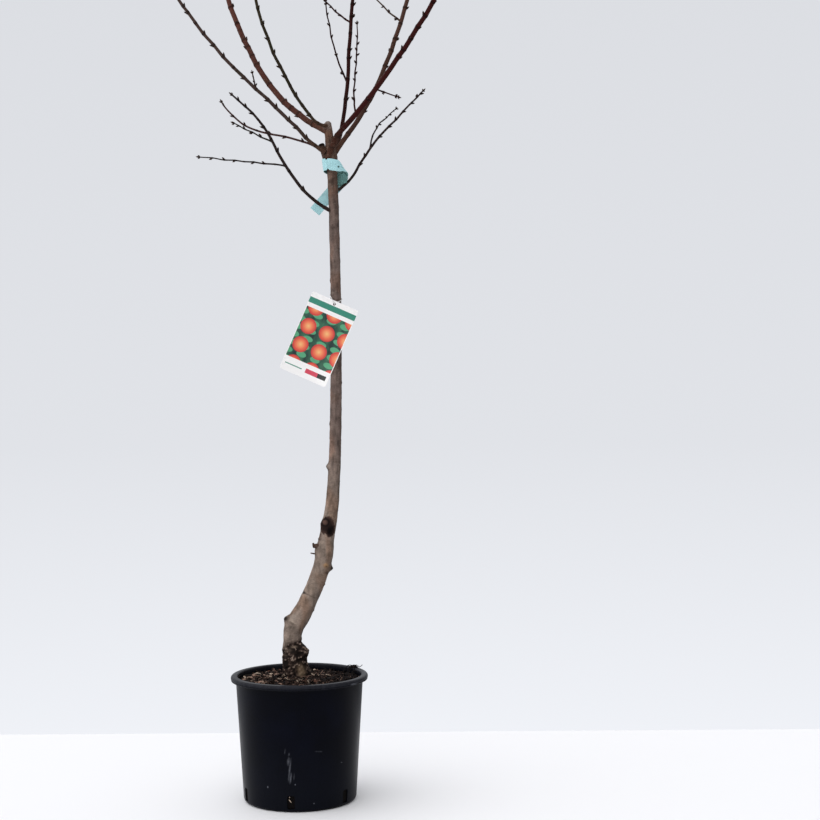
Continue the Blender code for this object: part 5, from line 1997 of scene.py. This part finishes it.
def card_hole():
    """The middle of the card's hole."""
    up = Matrix.Rotation(math.radians(CARD_TURN), 3, "Y") @ Vector((0, 0, 1))
    return CARD_CENTRE + up * (CARD_SIZE[2] / 2 - CARD_HOLE_INSET)


def white_thread():
    """White plastic thread."""
    paint = Paint("white_thread", 0.45, (0.72, 0.72, 0.72))
    grain = paint.noise(paint.place(), 800.0, 2.0)
    paint.colour(paint.ramp(grain, (0.3, 0.60), (0.7, 0.78)))
    paint.bump(grain, 0.2, 0.0001)
    return paint.made


def build_thread():
    """The thread that holds the card, once round the trunk and through the hole."""
    hole = card_hole()
    middle, radius = trunk_station(hole.z + 0.010)
    snug = radius + LOOP_RADIUS + 2 * GAP
    off_card = CARD_SIZE[1] / 2 + LOOP_RADIUS + 2 * GAP
    points = [
        hole + Vector((-0.0040, -off_card, 0.0085)),
        hole + Vector((-0.0012, -off_card, 0.0035)),
        hole + Vector((0.0000, -off_card * 0.8, 0.0000)),
        hole + Vector((0.0000, 0.0000, -0.0012)),
        hole + Vector((0.0000, off_card * 0.75, -0.0002)),
        hole + Vector((0.0014, off_card, 0.0022)),
    ]
    for heading in range(-72, 181, 36):
        rise = 0.018 - 0.0145 * ((180 - heading) / 252) ** 1.5
        level = Vector((middle.x, middle.y, hole.z + rise))
        points.append(level + along(heading, 90) * (snug + 0.0003))
    points.append(Vector((middle.x - snug * 0.9, middle.y - snug * 0.7, hole.z + 0.0155)))
    curve = bpy.data.curves.new("tag_thread", "CURVE")
    curve.dimensions = "3D"
    curve.bevel_depth = LOOP_RADIUS
    curve.bevel_resolution = 3
    spline = curve.splines.new("POLY")
    line = smooth_line(points, 8, closed=True)
    spline.points.add(len(line) - 1)
    for entry, point in zip(spline.points, line):
        entry.co = (*point, 1.0)
    spline.use_cyclic_u = True
    thread = bpy.data.objects.new("tag_thread", curve)
    bpy.context.scene.collection.objects.link(thread)
    graph = bpy.context.evaluated_depsgraph_get()
    mesh = bpy.data.meshes.new_from_object(thread.evaluated_get(graph))
    bpy.data.objects.remove(thread)
    mesh.shade_smooth()
    mount_piece(place_mesh("tag_thread", mesh, [white_thread()]), "white_loop", "label_loop")


def film_side(name, roughness, tone, dark, light, relief):
    """One side of a thin film: its colour between two shades along soft creases, as painted shade and
    highlight of the creases.
    """
    paint = Paint(name, roughness, tone)
    creases = paint.noise(paint.place(), 60.0, 1.0, 0.4)
    # Painted shade and highlight along the soft creases.
    fold = paint.ramp(creases, (0.3, 0.0), (0.7, 1.0))
    paint.colour(paint.mix(fold, shaded(tone, dark), shaded(tone, light)))
    paint.bump(creases, relief, 0.0012)
    return paint


def film_sides(settings):
    """The ribbon's pale blue outside, and its inside in a darker, greener colour that is partly the film's
    other side and partly painted shade.
    """
    film = tuple(settings.film)
    outside = film_side("blue_film", 0.45, film, 0.88, 1.06, 0.04)
    # The inside colour is darker and greener: partly the film's own other side, partly painted shade inside
    # the loop.
    inside_with_shade = (film[0] * 0.42, film[1] * 0.50, film[2] * 0.44)
    inside = film_side("film_inside", 0.5, inside_with_shade, 0.85, 1.1, 0.2)
    inside.shine(0.2)
    return [outside.made, inside.made]


def crumple(spot):
    """Small creases of the film."""
    return 0.0007 * noise.noise(spot * 75.0)


def band_ring(rows, sides):
    """The ribbon's loop: a short tube, pinched where it is threaded through its own slit."""
    bm = bmesh.new()
    bmesh.ops.create_grid(bm, x_segments=sides, y_segments=rows, size=0.5)
    for vert in bm.verts:
        angle = (vert.co.x + 0.5) * math.tau
        level = vert.co.y
        drop = BAND_DROP * math.cos(angle - math.radians(BAND_DROP_HEADING))
        middle = Vector((BAND_REACH[0] * math.cos(angle), BAND_REACH[1] * math.sin(angle), -drop))
        out = Vector((math.cos(angle) / BAND_REACH[0], math.sin(angle) / BAND_REACH[1], 0)).normalized()
        turn = (angle - BAND_FOLD_ANGLE + math.pi) % math.tau - math.pi
        pinch = bell(turn, 0.10)
        width = BAND_WIDTH * (1 - 0.26 * pinch)
        spot = BAND_CENTRE + middle + BAND_UP * level * width
        fall = share_between(0.35, 1.0, math.cos(angle))
        spot.z -= 0.0120 * fall * (level + 0.5)
        lifted = share_between(0.1, 0.9, math.cos(angle)) * share_between(0.3, -0.2, math.sin(angle))
        spot.z += 0.0042 * lifted * (0.5 - level)
        fold = 0.0011 * bell(turn, 0.05)
        vert.co = spot + out * (crumple(spot) + fold)
    weld(bm)
    thicken(bm, BAND_THICKNESS)
    return bm


def band_tail(rows):
    """The ribbon's free end, behind the trunk."""
    curve = smooth_line(TAIL_LINE, 12)
    bm = bmesh.new()
    bmesh.ops.create_grid(bm, x_segments=len(curve) - 1, y_segments=rows, size=0.5)
    for vert in bm.verts:
        index = round((vert.co.x + 0.5) * (len(curve) - 1))
        ahead = curve[min(index + 1, len(curve) - 1)] - curve[max(index - 1, 0)]
        face = TAIL_UP.cross(ahead).normalized()
        up = ahead.cross(face).normalized()
        narrow = 1 - 0.45 * share_between(0.35, 0.0, index / (len(curve) - 1))
        spot = curve[index] + up * BAND_WIDTH * vert.co.y * narrow
        vert.co = spot + face * crumple(spot) * 0.8
    thicken(bm, BAND_THICKNESS)
    return bm


def build_ribbon(settings):
    """The ribbon label: its loop, its tail and a punched hole, as one skin."""
    ribbon = add_object("ribbon_label", band_ring(BAND_ROWS, BAND_SIDES), film_sides(settings))
    boolean(ribbon, "UNION", [add_object("tail_piece", band_tail(BAND_ROWS), [])])
    punch(ribbon, BAND_HOLE_RADIUS, 0.012, 24, BAND_HOLE_PLACE)
    # Faces on the inside of the loop's upper part take the darker inside film, partly painted shade.
    for face in ribbon.data.polygons:
        inward = BAND_CENTRE - face.center
        inward.z = 0.0
        high = face.center.z > BAND_CENTRE.z - 0.030
        face.material_index = 1 if high and face.normal.dot(inward.normalized()) > 0.25 else 0
    ribbon.data.shade_smooth()
    ribbon.data.set_sharp_from_angle(angle=math.radians(45))
    mount_piece(ribbon, "blue_film", "label_band")


# Stage


def pale_room(scene, settings):
    """The surroundings: a pale wall to look at, and light that is weaker from the viewer's side."""
    world = bpy.data.worlds.new("pale_room")
    scene.world = world
    world.use_nodes = True
    tree = world.node_tree
    make = tree.nodes.new
    join = tree.links.new
    sky = make("ShaderNodeTexCoord").outputs["Generated"]
    split = make("ShaderNodeSeparateXYZ")
    join(sky, split.inputs["Vector"])
    lean = make("ShaderNodeVectorMath")
    lean.operation = "DOT_PRODUCT"
    lean.inputs[1].default_value = (-0.74, 0.67, 0.0)
    join(sky, lean.inputs[0])
    wall = tuple(settings.wall)
    low = tuple(min(1.0, channel * 1.16) for channel in wall)
    seen_stops = ((0.0, low), (0.40, wall), (1.0, shaded(wall, 0.955)))
    lit_stops = ((0.0, shaded(wall, 0.10)), (0.45, shaded(wall, 0.32)), (1.0, wall))
    rows = (
        (split.outputs["Z"], -0.21, 0.26, seen_stops),
        (lean.outputs["Value"], -0.9, 0.9, lit_stops),
    )
    shades = []
    for direction, start, end, stops in rows:
        spread = make("ShaderNodeMapRange")
        spread.inputs["From Min"].default_value = start
        spread.inputs["From Max"].default_value = end
        join(direction, spread.inputs["Value"])
        ramp = make("ShaderNodeValToRGB")
        ramp.color_ramp.elements.new(0.5)
        for element, (place, colour) in zip(ramp.color_ramp.elements, stops):
            element.position = place
            element.color = (*colour, 1.0)
        join(spread.outputs["Result"], ramp.inputs["Fac"])
        shades.append(ramp.outputs["Color"])
    choose = make("ShaderNodeMixRGB")
    join(make("ShaderNodeLightPath").outputs["Is Camera Ray"], choose.inputs["Fac"])
    join(shades[1], choose.inputs["Color1"])
    join(shades[0], choose.inputs["Color2"])
    join(choose.outputs["Color"], tree.nodes["Background"].inputs["Color"])


def build_stage(settings):
    """Pale floor, pale surroundings, soft light and the photograph's camera."""
    scene = bpy.context.scene
    scene.view_settings.view_transform = "Standard"
    bm = bmesh.new()
    bmesh.ops.create_grid(bm, x_segments=1, y_segments=1, size=0.5)
    bmesh.ops.scale(bm, verts=bm.verts, vec=(*FLOOR_SIZE, 1.0))
    bmesh.ops.translate(bm, verts=bm.verts, vec=(0, settings.floor_edge - FLOOR_SIZE[1] / 2, 0))
    paint = Paint("pale_floor", 0.75, settings.floor)
    paint.bump(paint.noise(paint.place(), 60.0, 4.0), 0.03, 0.001)
    floor = add_object("floor", bm, [paint.made])
    pale_room(scene, settings)
    lamps = (
        ("window", settings.sun_power, settings.sun_width, Vector((0.56, 0.60, -0.80))),
        ("ceiling", settings.sun_power * 1.15, 150.0, Vector((0.0, 0.05, -1.0))),
    )
    for name, power, width, heading in lamps:
        lamp = bpy.data.lights.new(name, "SUN")
        lamp.energy = power
        lamp.angle = math.radians(width)
        lamp.color = (1.0, 0.99, 0.97)
        holder = bpy.data.objects.new(name, lamp)
        holder.rotation_euler = heading.to_track_quat("-Z", "Y").to_euler()
        scene.collection.objects.link(holder)
    lens = bpy.data.cameras.new("photo_camera")
    lens.lens = CAMERA_LENS
    lens.sensor_width = SENSOR_WIDTH
    lens.clip_end = 50.0
    camera = bpy.data.objects.new("photo_camera", lens)
    camera.location = CAMERA_PLACE
    level = Matrix.Rotation(math.radians(90), 4, "X")
    camera.rotation_euler = (level @ Matrix.Rotation(math.radians(-CAMERA_ROLL), 4, "Z")).to_euler()
    scene.collection.objects.link(camera)
    scene.camera = camera


# Settings that a user would change


def colour_setting(name, description, default):
    """A colour that a user may change."""
    return FloatVectorProperty(
        name=name, description=description, subtype="COLOR", size=3, default=default, min=0.0, max=1.0,
    )


class PotSettings(bpy.types.PropertyGroup):
    """Sizes and finish of the pot."""

    sides: IntProperty(name="Sides", description="Faces round the pot's wall", default=192, min=48)
    plastic: colour_setting("Plastic", "Colour of the pot's plastic", (0.0006, 0.0009, 0.0030))
    roughness: FloatProperty(
        name="Roughness", description="How matt the plastic is", default=0.34, min=0.0, max=1.0,
    )
    shine: FloatProperty(
        name="Shine", description="How much the plastic mirrors", default=0.05, min=0.0, max=1.0,
    )


class MixSettings(bpy.types.PropertyGroup):
    """How much litter lies on the potting mix."""

    chips: IntProperty(name="Chips", description="Bark chips on the mix", default=820, min=0)
    crumbs: IntProperty(name="Crumbs", description="Crumbs among the chips", default=3600, min=0)
    fibres: IntProperty(name="Fibres", description="Fine roots over the mix", default=110, min=0)


class WoodSettings(bpy.types.PropertyGroup):
    """How finely the wood is made."""

    trunk_sides: IntProperty(name="Trunk sides", description="Faces round the trunk", default=96, min=16)
    bough_sides: IntProperty(name="Bough sides", description="Faces round each bough", default=20, min=8)
    stem_sides: IntProperty(name="Stem sides", description="Faces round each stem", default=12, min=6)
    twig_sides: IntProperty(name="Twig sides", description="Faces round each twig", default=8, min=3)
    bud_length: FloatProperty(
        name="Bud length", description="Length of a side bud", default=0.0050, min=0.001, unit="LENGTH",
    )


class LabelSettings(bpy.types.PropertyGroup):
    """Colours of the hang tag and the ribbon."""

    card: colour_setting("Card", "Colour of the bare card", (0.90, 0.89, 0.89))
    card_green: colour_setting("Card head", "Colour of the card's head band", (0.035, 0.24, 0.17))
    card_red: colour_setting("Card foot", "Colour of the card's foot bar", (0.62, 0.055, 0.10))
    card_bow: FloatProperty(
        name="Card bow", description="How far the card's edges curl forward",
        default=0.0035, unit="LENGTH",
    )
    film: colour_setting("Film", "Colour of the ribbon label", (0.375, 0.655, 0.700))


class StageSettings(bpy.types.PropertyGroup):
    """The pale room round the tree."""

    wall: colour_setting("Wall", "Colour of the surroundings", (0.752, 0.768, 0.807))
    floor: colour_setting("Floor", "Colour of the floor", (0.815, 0.820, 0.850))
    floor_edge: FloatProperty(
        name="Floor edge", description="How far behind the pot the floor ends",
        default=0.54, unit="LENGTH",
    )
    sun_power: FloatProperty(
        name="Main light", description="Power of the main light", default=1.46, min=0.0,
    )
    sun_width: FloatProperty(
        name="Main light's width", description="How wide it is, in degrees", default=90.0,
    )


SETTINGS = {
    "nursery_pot": PotSettings,
    "nursery_mix": MixSettings,
    "nursery_wood": WoodSettings,
    "nursery_labels": LabelSettings,
    "nursery_stage": StageSettings,
}


# One operator for each piece or group of like pieces


class NURSERY_OT_pot(bpy.types.Operator):
    """Make the round nursery pot"""

    bl_idname = "nursery.pot"
    bl_label = "Pot"

    def execute(self, context):
        build_pot(context.scene.nursery_pot)
        return {"FINISHED"}


class NURSERY_OT_mix(bpy.types.Operator):
    """Fill the pot with potting mix"""

    bl_idname = "nursery.mix"
    bl_label = "Potting mix"

    def execute(self, context):
        build_mix()
        return {"FINISHED"}


class NURSERY_OT_litter(bpy.types.Operator):
    """Scatter bark chips, crumbs and root fibres on the mix"""

    bl_idname = "nursery.litter"
    bl_label = "Chips and fibres"

    def execute(self, context):
        build_litter(context.scene.nursery_mix)
        return {"FINISHED"}


class NURSERY_OT_trunk(bpy.types.Operator):
    """Make the trunk and its boughs with the bark's relief"""

    bl_idname = "nursery.trunk"
    bl_label = "Trunk and boughs"

    def execute(self, context):
        build_trunk(context.scene.nursery_wood)
        return {"FINISHED"}


class NURSERY_OT_young_wood(bpy.types.Operator):
    """Grow the stems, side twigs and spurs from the boughs"""

    bl_idname = "nursery.young_wood"
    bl_label = "Young wood"

    def execute(self, context):
        build_young_wood(context.scene.nursery_wood)
        return {"FINISHED"}


class NURSERY_OT_buds(bpy.types.Operator):
    """Set the winter buds on every shoot"""

    bl_idname = "nursery.buds"
    bl_label = "Buds"

    def execute(self, context):
        build_buds(context.scene.nursery_wood)
        return {"FINISHED"}


class NURSERY_OT_hang_tag(bpy.types.Operator):
    """Hang the printed card on its thread"""

    bl_idname = "nursery.hang_tag"
    bl_label = "Hang tag"

    def execute(self, context):
        build_card(context.scene.nursery_labels)
        build_thread()
        return {"FINISHED"}


class NURSERY_OT_ribbon(bpy.types.Operator):
    """Loop the ribbon label round the trunk"""

    bl_idname = "nursery.ribbon"
    bl_label = "Ribbon label"

    def execute(self, context):
        build_ribbon(context.scene.nursery_labels)
        return {"FINISHED"}


class NURSERY_OT_stage(bpy.types.Operator):
    """Set the floor, the light and the camera"""

    bl_idname = "nursery.stage"
    bl_label = "Stage"

    def execute(self, context):
        build_stage(context.scene.nursery_stage)
        return {"FINISHED"}


OPERATORS = (
    NURSERY_OT_stage,
    NURSERY_OT_pot,
    NURSERY_OT_mix,
    NURSERY_OT_litter,
    NURSERY_OT_trunk,
    NURSERY_OT_young_wood,
    NURSERY_OT_buds,
    NURSERY_OT_hang_tag,
    NURSERY_OT_ribbon,
)


class NURSERY_PT_panel(bpy.types.Panel):
    """The tree's pieces and settings"""

    bl_idname = "NURSERY_PT_panel"
    bl_label = "Potted nectarine tree"
    bl_space_type = "VIEW_3D"
    bl_region_type = "UI"
    bl_category = "Nursery"

    def draw(self, context):
        for operator in OPERATORS:
            self.layout.operator(operator.bl_idname)
        for name, group in SETTINGS.items():
            box = self.layout.box()
            settings = getattr(context.scene, name)
            for entry in group.__annotations__:
                box.prop(settings, entry)


def register():
    for group in SETTINGS.values():
        bpy.utils.register_class(group)
    for name, group in SETTINGS.items():
        setattr(bpy.types.Scene, name, PointerProperty(type=group))
    for operator in OPERATORS:
        bpy.utils.register_class(operator)
    bpy.utils.register_class(NURSERY_PT_panel)


def unregister():
    bpy.utils.unregister_class(NURSERY_PT_panel)
    for operator in reversed(OPERATORS):
        bpy.utils.unregister_class(operator)
    for name in SETTINGS:
        delattr(bpy.types.Scene, name)
    for group in reversed(list(SETTINGS.values())):
        bpy.utils.unregister_class(group)


def main():
    register()
    bpy.ops.nursery.stage()
    bpy.ops.nursery.pot()
    bpy.ops.nursery.mix()
    bpy.ops.nursery.litter()
    bpy.ops.nursery.trunk()
    bpy.ops.nursery.young_wood()
    bpy.ops.nursery.buds()
    bpy.ops.nursery.hang_tag()
    bpy.ops.nursery.ribbon()


if __name__ == "__main__":
    main()
